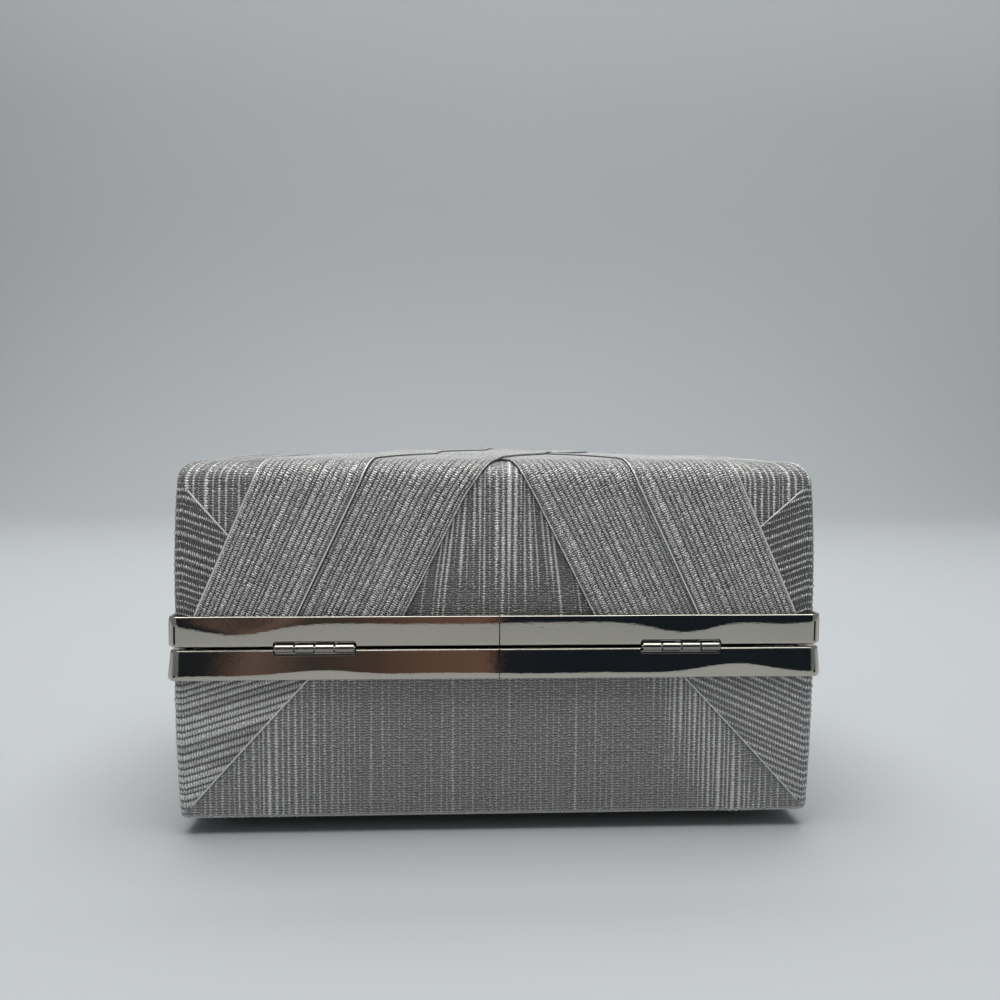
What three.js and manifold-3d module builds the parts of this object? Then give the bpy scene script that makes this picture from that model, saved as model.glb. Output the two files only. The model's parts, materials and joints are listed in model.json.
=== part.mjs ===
// Evening clutch: a hard box bag in two hinged halves, covered in ribbed satin and edged with a nickel frame.
// Millimetres, +Z up. The bag lies on its back half, with the hinges towards -Y and the clasp towards +Y.
import * as THREE from 'three';
import { mergeVertices } from 'three/addons/utils/BufferGeometryUtils.js';
import Module from 'manifold-3d';

// Driving dimensions: the metal frame, one channel-shaped ring on each half
const FRAME_LENGTH = 160;
const FRAME_DEPTH = 100;
const FRAME_WALL = 7.5;
const FRAME_INNER_WALL = 5;
const FRAME_SHEET = 0.5;
const FRAME_CORNER = 2;
const FRAME_INNER_CORNER = 0.4;
const FRAME_EDGE_ROUND = 0.6;
const SEAM_X = 0;
const SEAM_WIDTH = 0.3;
const PARTING_GAP = 0.6;
const GAP = 0.3;

// Driving dimensions: the covered shells, which stand in the frames. The lid's face has round edges and a
// slight crown. The back face is padded: flat in the middle, where the bag lies on it, and falling away to
// edges that stand clear of the ground. Flat and rings are shares of the way from the middle to the edge.
const COVER_RECESS_ENDS = 0.9;
const COVER_RECESS_LONG = 2.2;
const COVER_WALL = 2;
const COVER_INNER_PLAY = 0.4;
const COVER_CORNER = 2.5;
const COVER_INNER_ROUND = 1;
const LID_CROWN = { crown: 0.6, flat: 0, power: 4, rings: [0.9, 0.7, 0.35] };
const BASE_CROWN = { crown: 4, flat: 0.5, power: 2, rings: [0.9, 0.78, 0.65, 0.5] };
const LID = { rise: 37.4, taper: 0.8, edge: 5, ...LID_CROWN };
const BASE = { rise: 35.5, taper: 1.1, edge: 2, ...BASE_CROWN };

// Driving dimensions: the folded corners of the cloth
const FLAP_RAISE = 0.6;
const FLAP_ROOT = 0.8;
const FLAP_TOP_MARGIN = 1;
const FOLD_SLOPE = 0.97;
const FLAP_BAND_CLEARANCE = 0.6;

// Driving dimensions: the pleated bands that wrap the lid
const BAND_BODY = 0.7;
const BAND_RIB = 0.3;
const RIB_PITCH = 1.75;
const BAND_LAYER = BAND_BODY + BAND_RIB + GAP;
const BAND_FRAME_GAP = 0.4;
const LAYER_RAMP = 12;

// Each side has two bands, which cross the lid from the hinge side to the clasp side. A band's edges start at
// a distance from the middle (foot) on their own side and move across by a share (lean) of the way along.
const BANDS = [
  { place: 'inner', innerFoot: 23.2, innerLean: 0.508, outerFoot: 49.1, outerLean: 0.475 },
  { place: 'outer', innerFoot: 49.5, innerLean: 0.475, outerFoot: 74.6, outerLean: 0.436 },
];
const SIDES = [
  { word: 'right', side: 1, layer: 0 },
  { word: 'left', side: -1, layer: 1 },
];

// Driving dimensions: the two hinges and the clasp
const HINGE_X = 45;
const HINGE_LENGTH = 19.4;
const KNUCKLES = 4;
const KNUCKLE_RADIUS = 1.2;
const BORE_RADIUS = 0.85;
const PIN_RADIUS = 0.55;
const NOTCH_HEIGHT = 1.7;
const NOTCH_DEPTH = 3.2;
const LEAF_SHEET = 0.7;
const LEAF_HEIGHT = 5;
const LEAF_START = 1;
const CLASP_WIDTH = 26;
const CLASP_RADIUS = 4;
const CLASP_THICKNESS = 2.2;
const CLASP_BEVEL = 0.5;
const CLASP_ABOVE = 6.3;
const CLASP_BELOW = 5.7;

// How finely round shapes are divided, how close points merge, and how far a cut runs past a face
const STEPS_ALONG = 10;
const STEPS_ACROSS = 6;
const CORNER_STEPS = 3;
const EDGE_STEPS = 3;
const BARREL_SIDES = 14;
const BAND_WALL_STEPS = 2;
const WELD = 1e-4;
const CUT_PAST = 1;

// Heights measured out from the parting plane, the same way on both halves
const FRAME_FACE = PARTING_GAP / 2;
const FRAME_TOP = FRAME_FACE + FRAME_WALL;
const COVER_RIM = FRAME_FACE + FRAME_SHEET + GAP;
const PARTING_Z = BASE.crown + BASE.rise + FRAME_TOP;
const CHANNEL_WIDTH = COVER_RECESS_LONG + COVER_WALL + COVER_INNER_PLAY + FRAME_SHEET;
const HALF_LENGTH = FRAME_LENGTH / 2;
const HALF_DEPTH = FRAME_DEPTH / 2;
const COVER_HALF_X = HALF_LENGTH - COVER_RECESS_ENDS;
const COVER_HALF_Y = HALF_DEPTH - COVER_RECESS_LONG;

const SATIN = new THREE.MeshStandardMaterial({ color: 0x8b8c8e, roughness: 0.5, metalness: 0.25 });
const BAND_SATIN = new THREE.MeshStandardMaterial({ color: 0x98999a, roughness: 0.45, metalness: 0.25 });
const NICKEL = new THREE.MeshStandardMaterial({ color: 0xc9c6bd, roughness: 0.08, metalness: 1 });

const wasm = await Module();
wasm.setup();

// Solids and meshes

function solidFrom(geometry) {
  const bare = new THREE.BufferGeometry().setAttribute('position', geometry.getAttribute('position').clone());
  bare.setIndex(geometry.index);
  const merged = mergeVertices(bare, WELD);
  return new wasm.Manifold(new wasm.Mesh({
    numProp: 3,
    vertProperties: new Float32Array(merged.attributes.position.array),
    triVerts: new Uint32Array(merged.index.array),
  }));
}

function geometryFrom(solid) {
  const mesh = solid.getMesh();
  const geometry = new THREE.BufferGeometry();
  geometry.setAttribute('position', new THREE.BufferAttribute(new Float32Array(mesh.vertProperties), 3));
  geometry.setIndex(new THREE.BufferAttribute(new Uint32Array(mesh.triVerts), 1));
  geometry.computeVertexNormals();
  return geometry;
}

function namedMesh(name, geometry, material) {
  const mesh = new THREE.Mesh(geometry, material);
  mesh.name = name;
  return mesh;
}

function boxSolid(low, high) {
  const size = high.map((value, axis) => value - low[axis]);
  const box = new THREE.BoxGeometry(...size);
  return solidFrom(box.translate(...low.map((value, axis) => value + size[axis] / 2)));
}

function barrelSolid(radius, fromX, toX) {
  const barrel = new THREE.CylinderGeometry(radius, radius, toX - fromX, BARREL_SIDES).rotateZ(Math.PI / 2);
  return solidFrom(barrel.translate((fromX + toX) / 2, 0, 0));
}

// Closed surfaces stitched from rings of points

function roundedRing(halfX, halfY, radius) {
  const centres = [[1, 1], [-1, 1], [-1, -1], [1, -1]];
  const corners = centres.map(([sx, sy], turn) => {
    const start = turn * Math.PI / 2;
    return Array.from({ length: CORNER_STEPS + 1 }, (_, i) => {
      const angle = start + (i / CORNER_STEPS) * Math.PI / 2;
      const x = sx * (halfX - radius) + radius * Math.cos(angle);
      const y = sy * (halfY - radius) + radius * Math.sin(angle);
      return [x, y];
    });
  });
  return corners.flatMap((corner, turn) => {
    const from = corner[CORNER_STEPS];
    const to = corners[(turn + 1) % 4][0];
    const steps = turn % 2 === 0 ? STEPS_ALONG : STEPS_ACROSS;
    const side = Array.from({ length: steps - 1 }, (_, i) => {
      const share = (i + 1) / steps;
      return [from[0] + (to[0] - from[0]) * share, from[1] + (to[1] - from[1]) * share];
    });
    return [...corner, ...side];
  });
}

function stitch(rings, { loop }) {
  const count = rings[0].length;
  const positions = rings.flat(2);
  const index = [];
  const pairs = loop ? rings.length : rings.length - 1;
  for (let ring = 0; ring < pairs; ring += 1) {
    const here = ring * count;
    const next = ((ring + 1) % rings.length) * count;
    for (let i = 0; i < count; i += 1) {
      const after = (i + 1) % count;
      index.push(here + i, here + after, next + after, here + i, next + after, next + i);
    }
  }
  if (!loop) {
    [[0, -1], [rings.length - 1, 1]].forEach(([ring, turn]) => {
      const middle = positions.length / 3;
      const points = rings[ring];
      [0, 1, 2].forEach((axis) => positions.push(points.reduce((sum, p) => sum + p[axis], 0) / count));
      for (let i = 0; i < count; i += 1) {
        const edge = [ring * count + i, ring * count + (i + 1) % count];
        index.push(...(turn > 0 ? edge : edge.reverse()), middle);
      }
    });
  }
  const geometry = new THREE.BufferGeometry();
  geometry.setAttribute('position', new THREE.Float32BufferAttribute(positions, 3));
  geometry.setIndex(index);
  return geometry;
}

// The covered shell of one half, as a shape that both the shell and the bands on it follow

function coverShape({ rise, taper, edge, crown, flat, power, rings }) {
  const straight = rise - edge;
  const inset = taper * straight / rise;
  const shape = {
    straight,
    inset,
    edge,
    top: FRAME_TOP + rise,
    wallRun: Math.hypot(straight, inset),
    arcRun: edge * Math.PI / 2,
    topHalfX: COVER_HALF_X - inset - edge,
    topHalfY: COVER_HALF_Y - inset - edge,
    crownRings: rings,
  };
  const bow = (share) => 1 - THREE.MathUtils.clamp((Math.abs(share) - flat) / (1 - flat), 0, 1) ** power;
  shape.liftAt = (x, y) => crown * bow(x / shape.topHalfX) * bow(y / shape.topHalfY);
  shape.wholeRun = 2 * (shape.wallRun + shape.arcRun + shape.topHalfY);
  return shape;
}

// The point on the cover at x, a run from the hinge side's frame edge, and a height above the cloth.
function onCover(shape, x, run, height) {
  const far = run > shape.wholeRun / 2;
  const way = far ? shape.wholeRun - run : run;
  const turn = far ? 1 : -1;
  let out;
  let up;
  let tilt;
  if (way < shape.wallRun) {
    const share = way / shape.wallRun;
    out = COVER_HALF_Y - shape.inset * share;
    up = FRAME_TOP + shape.straight * share;
    tilt = Math.atan2(shape.inset, shape.straight);
  } else if (way < shape.wallRun + shape.arcRun) {
    tilt = (way - shape.wallRun) / shape.edge;
    out = shape.topHalfY + shape.edge * Math.cos(tilt);
    up = shape.top - shape.edge * (1 - Math.sin(tilt));
  } else {
    tilt = Math.PI / 2;
    out = shape.topHalfY - (way - shape.wallRun - shape.arcRun);
    up = shape.top + shape.liftAt(x, out);
  }
  return [x, turn * (out + height * Math.cos(tilt)), up + height * Math.sin(tilt)];
}

function coverRings(shape, wall) {
  const edge = Math.max(shape.edge - wall, COVER_INNER_ROUND);
  const rows = [
    { inset: 0, height: COVER_RIM },
    { inset: 0, height: FRAME_TOP },
  ];
  for (let i = 0; i <= EDGE_STEPS; i += 1) {
    const angle = (i / EDGE_STEPS) * Math.PI / 2;
    rows.push({
      inset: shape.inset + edge * (1 - Math.cos(angle)),
      height: shape.top - wall - edge * (1 - Math.sin(angle)),
    });
  }
  const corner = Math.max(COVER_CORNER - wall, COVER_INNER_ROUND);
  const rings = rows.map(({ inset, height }) => {
    const outline = roundedRing(COVER_HALF_X - wall - inset, COVER_HALF_Y - wall - inset, corner);
    return outline.map(([x, y]) => [x, y, height]);
  });
  return rings;
}

// The crowned face of a shell, from its edge to the middle.
function crownRings(shape, rim) {
  return shape.crownRings.map((share) => {
    const ring = rim.map(([x, y]) => [x * share, y * share]);
    return ring.map(([x, y]) => [x, y, shape.top + shape.liftAt(x, y)]);
  });
}

// The part of a corner fold that a band on the same wall leaves free, by cutting along the band's edge.
function clippedByBand(corners, edge) {
  const room = ([x, run]) => x - (edge.foot - edge.lean * run) - FLAP_BAND_CLEARANCE;
  return corners.flatMap((point, i) => {
    const next = corners[(i + 1) % corners.length];
    const [here, there] = [room(point), room(next)];
    const kept = here >= 0 ? [point] : [];
    if (here * there < 0) {
      const share = here / (here - there);
      kept.push(point.map((value, axis) => value + (next[axis] - value) * share));
    }
    return kept;
  });
}

// A folded corner of the cloth: a flat flap, lying on a long wall from the side's edge to the fold.
function flapSolid(shape, side, far, bandEdge) {
  const outerX = COVER_HALF_X - COVER_CORNER;
  const height = shape.wallRun - FLAP_TOP_MARGIN;
  const whole = [[outerX, height], [outerX - FOLD_SLOPE * height, 0], [outerX, 0]];
  const corners = bandEdge ? clippedByBand(whole, bandEdge) : whole;
  const outline = new THREE.Shape(corners.map(([x, run]) => new THREE.Vector2(side * x, run)));
  const plate = new THREE.ExtrudeGeometry(outline, { depth: FLAP_ROOT + FLAP_RAISE, bevelEnabled: false });
  plate.translate(0, 0, -FLAP_ROOT);
  plate.rotateX(Math.PI / 2 - Math.atan2(shape.inset, shape.straight));
  plate.translate(0, -COVER_HALF_Y, FRAME_TOP);
  return solidFrom(far ? plate.rotateZ(Math.PI) : plate);
}

function coverGeometry(shape, bandEdges) {
  const outer = coverRings(shape, 0);
  const inner = coverRings(shape, COVER_WALL);
  const face = crownRings(shape, outer[outer.length - 1]);
  let solid = solidFrom(stitch([...inner.reverse(), ...outer, ...face], { loop: false }));
  [false, true].forEach((far) => {
    [-1, 1].forEach((side) => {
      solid = solid.add(flapSolid(shape, side, far, bandEdges && bandEdges[far ? 'far' : 'near']));
    });
  });
  return geometryFrom(solid);
}

// The metal frame of one half

function channelProfile() {
  const round = FRAME_EDGE_ROUND;
  const blunt = round * (1 - Math.SQRT1_2);
  return [
    [0, FRAME_WALL - round / 2],
    [round / 2, FRAME_WALL],
    [FRAME_SHEET, FRAME_WALL],
    [FRAME_SHEET, FRAME_SHEET],
    [CHANNEL_WIDTH - FRAME_SHEET, FRAME_SHEET],
    [CHANNEL_WIDTH - FRAME_SHEET, FRAME_INNER_WALL],
    [CHANNEL_WIDTH, FRAME_INNER_WALL],
    [CHANNEL_WIDTH, 0],
    [round, 0],
    [blunt, blunt],
    [0, round],
  ];
}

function frameGeometry() {
  const rings = channelProfile().map(([inward, height]) => {
    const corner = Math.max(FRAME_CORNER - inward, FRAME_INNER_CORNER);
    const outline = roundedRing(HALF_LENGTH - inward, HALF_DEPTH - inward, corner);
    return outline.map(([x, y]) => [x, y, FRAME_FACE + height]);
  });
  let solid = solidFrom(stitch(rings, { loop: true }));
  const front = -HALF_DEPTH;
  const seam = [
    [SEAM_X - SEAM_WIDTH / 2, front - CUT_PAST, 0],
    [SEAM_X + SEAM_WIDTH / 2, front + CHANNEL_WIDTH + CUT_PAST, FRAME_TOP + CUT_PAST],
  ];
  solid = solid.subtract(boxSolid(...seam));
  [-1, 1].forEach((side) => {
    const half = HINGE_LENGTH / 2 + GAP;
    const notch = [
      [side * HINGE_X - half, front - CUT_PAST, 0],
      [side * HINGE_X + half, front + NOTCH_DEPTH, NOTCH_HEIGHT],
    ];
    solid = solid.subtract(boxSolid(...notch));
  });
  return geometryFrom(solid);
}

// Hinges: the leaves of the two halves take turns along the barrel, with one pin through them

function leafGeometry(firstKnuckle) {
  const back = FRAME_SHEET + GAP;
  const half = HINGE_LENGTH / 2;
  const pitch = HINGE_LENGTH / KNUCKLES;
  let solid = boxSolid([-half, back, LEAF_START], [half, back + LEAF_SHEET, LEAF_START + LEAF_HEIGHT]);
  for (let knuckle = firstKnuckle; knuckle < KNUCKLES; knuckle += 2) {
    const from = -half + knuckle * pitch + GAP / 2;
    const to = from + pitch - GAP;
    const strap = boxSolid([from, BORE_RADIUS, GAP], [to, back + LEAF_SHEET, LEAF_START + LEAF_SHEET]);
    const bore = barrelSolid(BORE_RADIUS, from - CUT_PAST, to + CUT_PAST);
    solid = solid.add(strap.add(barrelSolid(KNUCKLE_RADIUS, from, to)).subtract(bore));
  }
  return geometryFrom(solid);
}

function claspGeometry() {
  const flat = CLASP_WIDTH / 2 - CLASP_RADIUS;
  const outline = new THREE.Shape();
  outline.absarc(flat, CLASP_ABOVE - CLASP_RADIUS, CLASP_RADIUS, 0, Math.PI / 2, false);
  outline.absarc(-flat, CLASP_ABOVE - CLASP_RADIUS, CLASP_RADIUS, Math.PI / 2, Math.PI, false);
  outline.absarc(-flat, CLASP_RADIUS - CLASP_BELOW, CLASP_RADIUS, Math.PI, Math.PI * 1.5, false);
  outline.absarc(flat, CLASP_RADIUS - CLASP_BELOW, CLASP_RADIUS, Math.PI * 1.5, Math.PI * 2, false);
  const plate = new THREE.ExtrudeGeometry(outline, {
    depth: CLASP_THICKNESS - 2 * CLASP_BEVEL,
    bevelThickness: CLASP_BEVEL,
    bevelSize: CLASP_BEVEL,
    bevelOffset: -CLASP_BEVEL,
    bevelSegments: 2,
    curveSegments: 5,
  });
  plate.translate(0, 0, CLASP_BEVEL);
  return geometryFrom(solidFrom(plate.rotateX(Math.PI / 2).rotateZ(Math.PI)));
}

// The pleated bands on the lid

function bandStations(shape) {
  const arcStart = shape.wallRun;
  const arcEnd = arcStart + shape.arcRun;
  const middle = shape.wholeRun / 2;
  const spread = (from, to, steps) => Array.from({ length: steps }, (_, i) => from + (to - from) * i / steps);
  const near = [
    ...spread(BAND_FRAME_GAP, arcStart, BAND_WALL_STEPS),
    ...spread(arcStart, arcEnd, EDGE_STEPS),
    ...[1, ...shape.crownRings].map((share) => middle - share * shape.topHalfY),
  ];
  return [...near, middle, ...near.map((run) => shape.wholeRun - run).reverse()];
}

function bandGeometry(shape, band, { side, layer }) {
  const ribs = Math.round((band.outerFoot - band.innerFoot) / RIB_PITCH);
  const rise = (run) => {
    const start = shape.wallRun - LAYER_RAMP / 2;
    return GAP + layer * BAND_LAYER * THREE.MathUtils.smoothstep(run, start, start + LAYER_RAMP);
  };
  const sections = bandStations(shape).map((run) => {
    const inner = side * (band.innerFoot - band.innerLean * run);
    const outer = side * (band.outerFoot - band.outerLean * run);
    const [left, right] = inner < outer ? [inner, outer] : [outer, inner];
    const cloth = Array.from({ length: 2 * ribs + 1 }, (_, i) => {
      const height = rise(run) + BAND_BODY + (i % 2) * BAND_RIB;
      return onCover(shape, left + (right - left) * i / (2 * ribs), run, height);
    });
    return [onCover(shape, right, run, rise(run)), onCover(shape, left, run, rise(run)), ...cloth];
  });
  return stitch(sections, { loop: false });
}

// Assembly: everything is placed from the parting plane, and the back half is the same way out, turned over

const lidShape = coverShape(LID);
const baseShape = coverShape(BASE);
const [innerBand, outerBand] = BANDS;
const lidBandEdges = {
  near: { foot: outerBand.outerFoot, lean: outerBand.outerLean },
  far: { foot: innerBand.innerLean * lidShape.wholeRun - innerBand.innerFoot, lean: innerBand.innerLean },
};

const lid = new THREE.Group();
lid.add(namedMesh('lid_cover', coverGeometry(lidShape, lidBandEdges), SATIN));
lid.add(namedMesh('lid_frame', frameGeometry(), NICKEL));
SIDES.forEach((way) => {
  BANDS.forEach((band) => {
    lid.add(namedMesh(`lid_band_${way.word}_${band.place}`, bandGeometry(lidShape, band, way), BAND_SATIN));
  });
});
const clasp = namedMesh('clasp', claspGeometry(), NICKEL);
clasp.position.y = HALF_DEPTH + GAP;
lid.add(clasp);

const base = new THREE.Group();
base.scale.z = -1;
base.add(namedMesh('base_cover', coverGeometry(baseShape, null), SATIN));
base.add(namedMesh('base_frame', frameGeometry(), NICKEL));

SIDES.forEach(({ word, side }) => {
  const place = (mesh, half) => {
    mesh.position.set(side * HINGE_X, -HALF_DEPTH, 0);
    half.add(mesh);
  };
  place(namedMesh(`hinge_${word}_lid_leaf`, leafGeometry(0), NICKEL), lid);
  place(namedMesh(`hinge_${word}_base_leaf`, leafGeometry(1), NICKEL), base);
  const pin = geometryFrom(barrelSolid(PIN_RADIUS, -HINGE_LENGTH / 2, HINGE_LENGTH / 2));
  place(namedMesh(`hinge_${word}_pin`, pin, NICKEL), base);
});

const clutch = new THREE.Group();
lid.position.z = PARTING_Z;
base.position.z = PARTING_Z;
clutch.add(lid, base);

export default clutch;
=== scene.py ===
"""Evening clutch: the looks of a hinged box bag in ribbed satin with a polished frame.

Lengths here are millimetres in the part's own frame, and become metres when a mesh is made.
Each half is described by heights measured out from the parting plane, so both halves share one code.
A pair of numbers named EASE, WAY or X holds the two ends of a smooth step: distances from an edge, ways up
from the frame or places along X.
"""
import json
import math
from collections import namedtuple

import bmesh
import bpy
import numpy as np
from mathutils import Matrix, Vector


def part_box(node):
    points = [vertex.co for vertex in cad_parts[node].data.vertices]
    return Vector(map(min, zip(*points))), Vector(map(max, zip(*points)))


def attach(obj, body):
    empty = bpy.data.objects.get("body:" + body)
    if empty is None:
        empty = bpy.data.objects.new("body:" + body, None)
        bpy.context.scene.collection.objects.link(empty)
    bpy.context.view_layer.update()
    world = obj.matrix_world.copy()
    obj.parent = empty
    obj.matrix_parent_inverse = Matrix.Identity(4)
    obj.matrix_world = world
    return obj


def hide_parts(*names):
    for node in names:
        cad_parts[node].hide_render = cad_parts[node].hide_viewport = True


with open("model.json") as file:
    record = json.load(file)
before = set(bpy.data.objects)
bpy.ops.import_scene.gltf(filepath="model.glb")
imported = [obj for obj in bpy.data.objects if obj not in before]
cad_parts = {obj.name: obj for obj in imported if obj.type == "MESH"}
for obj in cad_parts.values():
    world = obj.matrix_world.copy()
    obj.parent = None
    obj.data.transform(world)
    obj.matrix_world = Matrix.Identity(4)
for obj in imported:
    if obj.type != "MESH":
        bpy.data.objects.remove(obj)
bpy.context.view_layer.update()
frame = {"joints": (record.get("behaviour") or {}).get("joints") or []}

MM = 0.001
RNG_SEED = 41
WELD_DISTANCE = 0.001
MIRROR_X = np.array([-1, 1, 1])
HALF_TURN = np.array([-1, -1, 1])


def box_mm(node):
    low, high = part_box(node)
    return np.array(low) / MM, np.array(high) / MM


# Sizes read from the frame
PARTING = frame["joints"][0]["pos_m"][2] / MM
FRAME_LOW, FRAME_HIGH = box_mm("lid_frame")
HALF_LENGTH = FRAME_HIGH[0]
HALF_DEPTH = FRAME_HIGH[1]
FRAME_FACE = FRAME_LOW[2] - PARTING
FRAME_TOP = FRAME_HIGH[2] - PARTING
FRAME_WALL = FRAME_TOP - FRAME_FACE
COVER_HALF_X = box_mm("lid_cover")[1][0]
CLASP_LOW, CLASP_HIGH = box_mm("clasp")
PIN_LOW, PIN_HIGH = box_mm("hinge_right_pin")
HINGE_X = (PIN_LOW[0] + PIN_HIGH[0]) / 2
HINGE_LENGTH = PIN_HIGH[0] - PIN_LOW[0]

# The covered shells
COVER_RECESS_LONG = 2.2
COVER_HALF_Y = HALF_DEPTH - COVER_RECESS_LONG
COVER_CORNER = 2.0
CORNER_RUN = COVER_CORNER * math.pi / 2
BASE_END_SWELL = 0.35
BASE_CROWN = 4.0
CLOTH_THICKNESS = 0.35
TUCK = 3.3
SHELL_WALL = 2.0
SHELL_DEEPER = 2.0
SHELL_RINGS = 6
SHELL_STEPS = {"long": 11, "corner": 4, "end": 9}
CROWN_RINGS = [0.92, 0.8, 0.65, 0.5]

# The channel-shaped frame, and how many stations its mesh has
FRAME_SHEET = 0.5
FRAME_LIP = FRAME_SHEET / 2
FRAME_OUTSIDE = 0.9 * FRAME_SHEET
FRAME_CORNER = 2.0
FRAME_EDGE = 0.7
FRAME_INNER_ROW = 2.0
FRAME_END_PROUD = 0.4
CHANNEL_WIDTH = 5.1
CHANNEL_INNER_WALL = 5.0
CHANNEL_EDGE = 0.4
SECTION_STEPS = {"edge": 7, "face": 26, "lip": 9, "inner_lip": 7, "inner_edge": 5, "flat": 8}
SEAM_WIDTH = 0.26
NOTCH_HEIGHT = 1.25
NOTCH_DEPTH = 3.2
NOTCH_ROUND = 0.7
NOTCH_MARGIN = 0.35
NOTCH_EASE = 2.6
NOTCH_SLANT = 1.6
NOTCH_SLANT_MOST = 2.5
NOTCH_APPROACH = 1.2
NOTCH_PAST = 0.3
STATION_GAP = 0.2
STATIONS = {
    "to_notch": 40, "notch_side": 16, "notch": 14, "to_corner": 30,
    "corner": 11, "end": 40, "far": 40,
}

# The frame's faces: their tilts in degrees, their slow waves, and dents from hammering beside the hinges
FaceTilt = namedtuple("FaceTilt", "main edge turn reach")
FACE_TILT = {"lid": FaceTilt(-0.4, 10.0, 0.7, 0.34), "base": FaceTilt(5.8, -4.0, 0.8, 0.12)}
FaceWave = namedtuple("FaceWave", "degrees length start")
FACE_WAVES = [FaceWave(0.35, 17.0, 0.6), FaceWave(0.25, 6.1, 1.9)]
Dent = namedtuple("Dent", "x width depth")
DENTS = {
    "lid": [Dent(-64.0, 8.5, 0.4), Dent(-20.0, 14.0, 0.05), Dent(46.0, 7.0, 0.36), Dent(70.0, 6.0, 0.1)],
    "base": [Dent(-43.0, 8.0, 0.17), Dent(-10.0, 12.0, 0.06), Dent(59.0, 8.0, 0.3), Dent(26.0, 9.0, 0.04)],
}
TILT_STEPS = np.linspace(0, FRAME_WALL, 60)

# Hinges: each leaf has knuckles, straps that carry them and a plate behind the frame's sheet
KNUCKLES = 4
KNUCKLE_RADIUS = 1.06
KNUCKLE_BEVEL = 0.18
BEVEL_STEPS = 5
KNUCKLE_GAP = 0.24
BORE_RADIUS = 0.7
PIN_RADIUS = 0.55
PIN_DOME = 0.22
PIN_DOME_TURN = 88
PIN_DOME_STEPS = 7
LATHE_STEPS = 36
LEAF_BACK = FRAME_SHEET + 0.3
LEAF_THICKNESS = 0.7
LeafPlate = namedtuple("LeafPlate", "low high bevel")
STRAP = LeafPlate(0.3, 1.5, 0.1)
PLATE = LeafPlate(1.0, 6.0, 0.15)

# The clasp's cushion: shares of its outline and of its thickness
CLASP_SQUARENESS = 4.5
CLASP_STEPS = 96
CLASP_LEVELS = [
    (0.93, 0.0), (0.985, 0.06), (1.0, 0.2), (1.0, 0.45), (0.985, 0.6), (0.95, 0.72),
    (0.88, 0.81), (0.75, 0.89), (0.55, 0.95), (0.3, 0.985), (0.08, 1.0),
]

# How strong ribs are: their middle, how much one differs from the next, and how each changes along itself
RibLevel = namedtuple("RibLevel", "middle own own_low own_high change change_low change_high reach")
RIB_LEVELS = {
    "lid": RibLevel(0.9, 0.36, 0.25, 1.36, 0.36, 0.3, 1.6, 5),
    "base": RibLevel(0.9, 0.11, 0.25, 1.11, 0.11, 0.3, 1.6, 5),
    "flap": RibLevel(0.95, 0.15, 0.5, 1.3, 0.22, 0.4, 1.5, 6),
    "band": RibLevel(0.98, 0.04, 0.7, 1.2, 0.09, 0.6, 1.4, 4),
}
RIB_SHARES = [0.0, 0.14, 0.32, 0.5, 0.68, 0.86]

# The pleated bands of the lid: each edge starts at a distance from the middle and leans towards it
Band = namedtuple("Band", "inner_foot inner_lean outer_foot outer_lean")
BANDS = {"inner": Band(23.2, 0.508, 50.6, 0.475), "outer": Band(49.2, 0.475, 74.6, 0.436)}
BAND_ROWS = (28, 9, 30)
BAND_SHARES = [0.0, 0.12, 0.36, 0.64, 0.88]
BAND_UNDER_COLUMNS = 25
BAND_REST = 0.25
BAND_SINK = 0.1
BAND_THICKNESS = 0.3
BAND_EDGE_ROUND = 0.35
BAND_RIB = 0.26
BAND_RIB_PITCH = 1.42
BAND_UNEVEN = 0.26
BAND_WANDER = 0.14
BAND_WANDER_REACH = 7
BAND_WANDER_FADE = 0.08
BAND_CREST = 0.5
BAND_SHINE = 0.76
BAND_GATHER = {1: 0.7, -1: 2.4}
BAND_GATHER_WAY = (28, 42)

# Where a band lies over its neighbour, and the left bands over the right ones
BAND_OVER = 0.5
BAND_OVER_EASE = (-3.5, 0.3)
CROSSING_RISE = BAND_THICKNESS + BAND_RIB + 0.05
CROSSING_EASE = (-3, 0.6)
DOUBLED_RISE = 0.4
DOUBLED_PLACE = 1.0
DOUBLED_REACH = 4

# The tone in the bands' valleys, painted shade that also sets their depth, and the thin streaks along some of
# their ribs, which are painted highlights
VALLEY_TONE = 0.02
VALLEY_CHANGE = 0.08
VALLEY_MOST = 0.2
VALLEY_REACH = 6
STREAK_PLACE = (0.25, 0.75)
STREAK_WIDTH = 0.1
STREAK_CHANGE = 0.7
STREAK_RARE = 0.3
STREAK_MOST = 0.5
STREAK_GAIN = 1.3
STREAK_REACH = 8

# The bands' rolled hems: a painted shadow at the underside, a painted highlight on the roll, a groove and a
# plain strip. The hem's painted highlight is weaker on the inner bands' inner edges and fades towards the
# padded top.
EDGE_SHADOW = 0.17
HEM_WIDTH = 0.48
HEM_GROOVE = 0.13
HEM_RAISE = 0.18
HEM_SOFT = 0.06
HEM_LEVEL = {"inner": 0.45, "outer": 1.0}
HEM_COLUMNS = np.array([0.05, 0.11, 0.17, 0.23, 0.32, 0.45, 0.59, 0.65, 0.71, 0.8, 1.0])
HEM_TOP_FADE = 0.6
HEM_TOP_EASE = (-3, 0)
PLAIN_STRIP = {("inner", -1): 0.1, ("inner", 1): 0.1, ("outer", -1): 0.7, ("outer", 1): 0.2}
PLAIN_SOFT = 0.3
PLAIN_SHADE = 0.3
# On the padded top the bands' ribs get a stronger painted highlight, rising into a smooth painted sheen.
TOP_GAIN = 0.6
TOP_SHEEN = 0.3
TOP_EASE = (2, 3)
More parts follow.
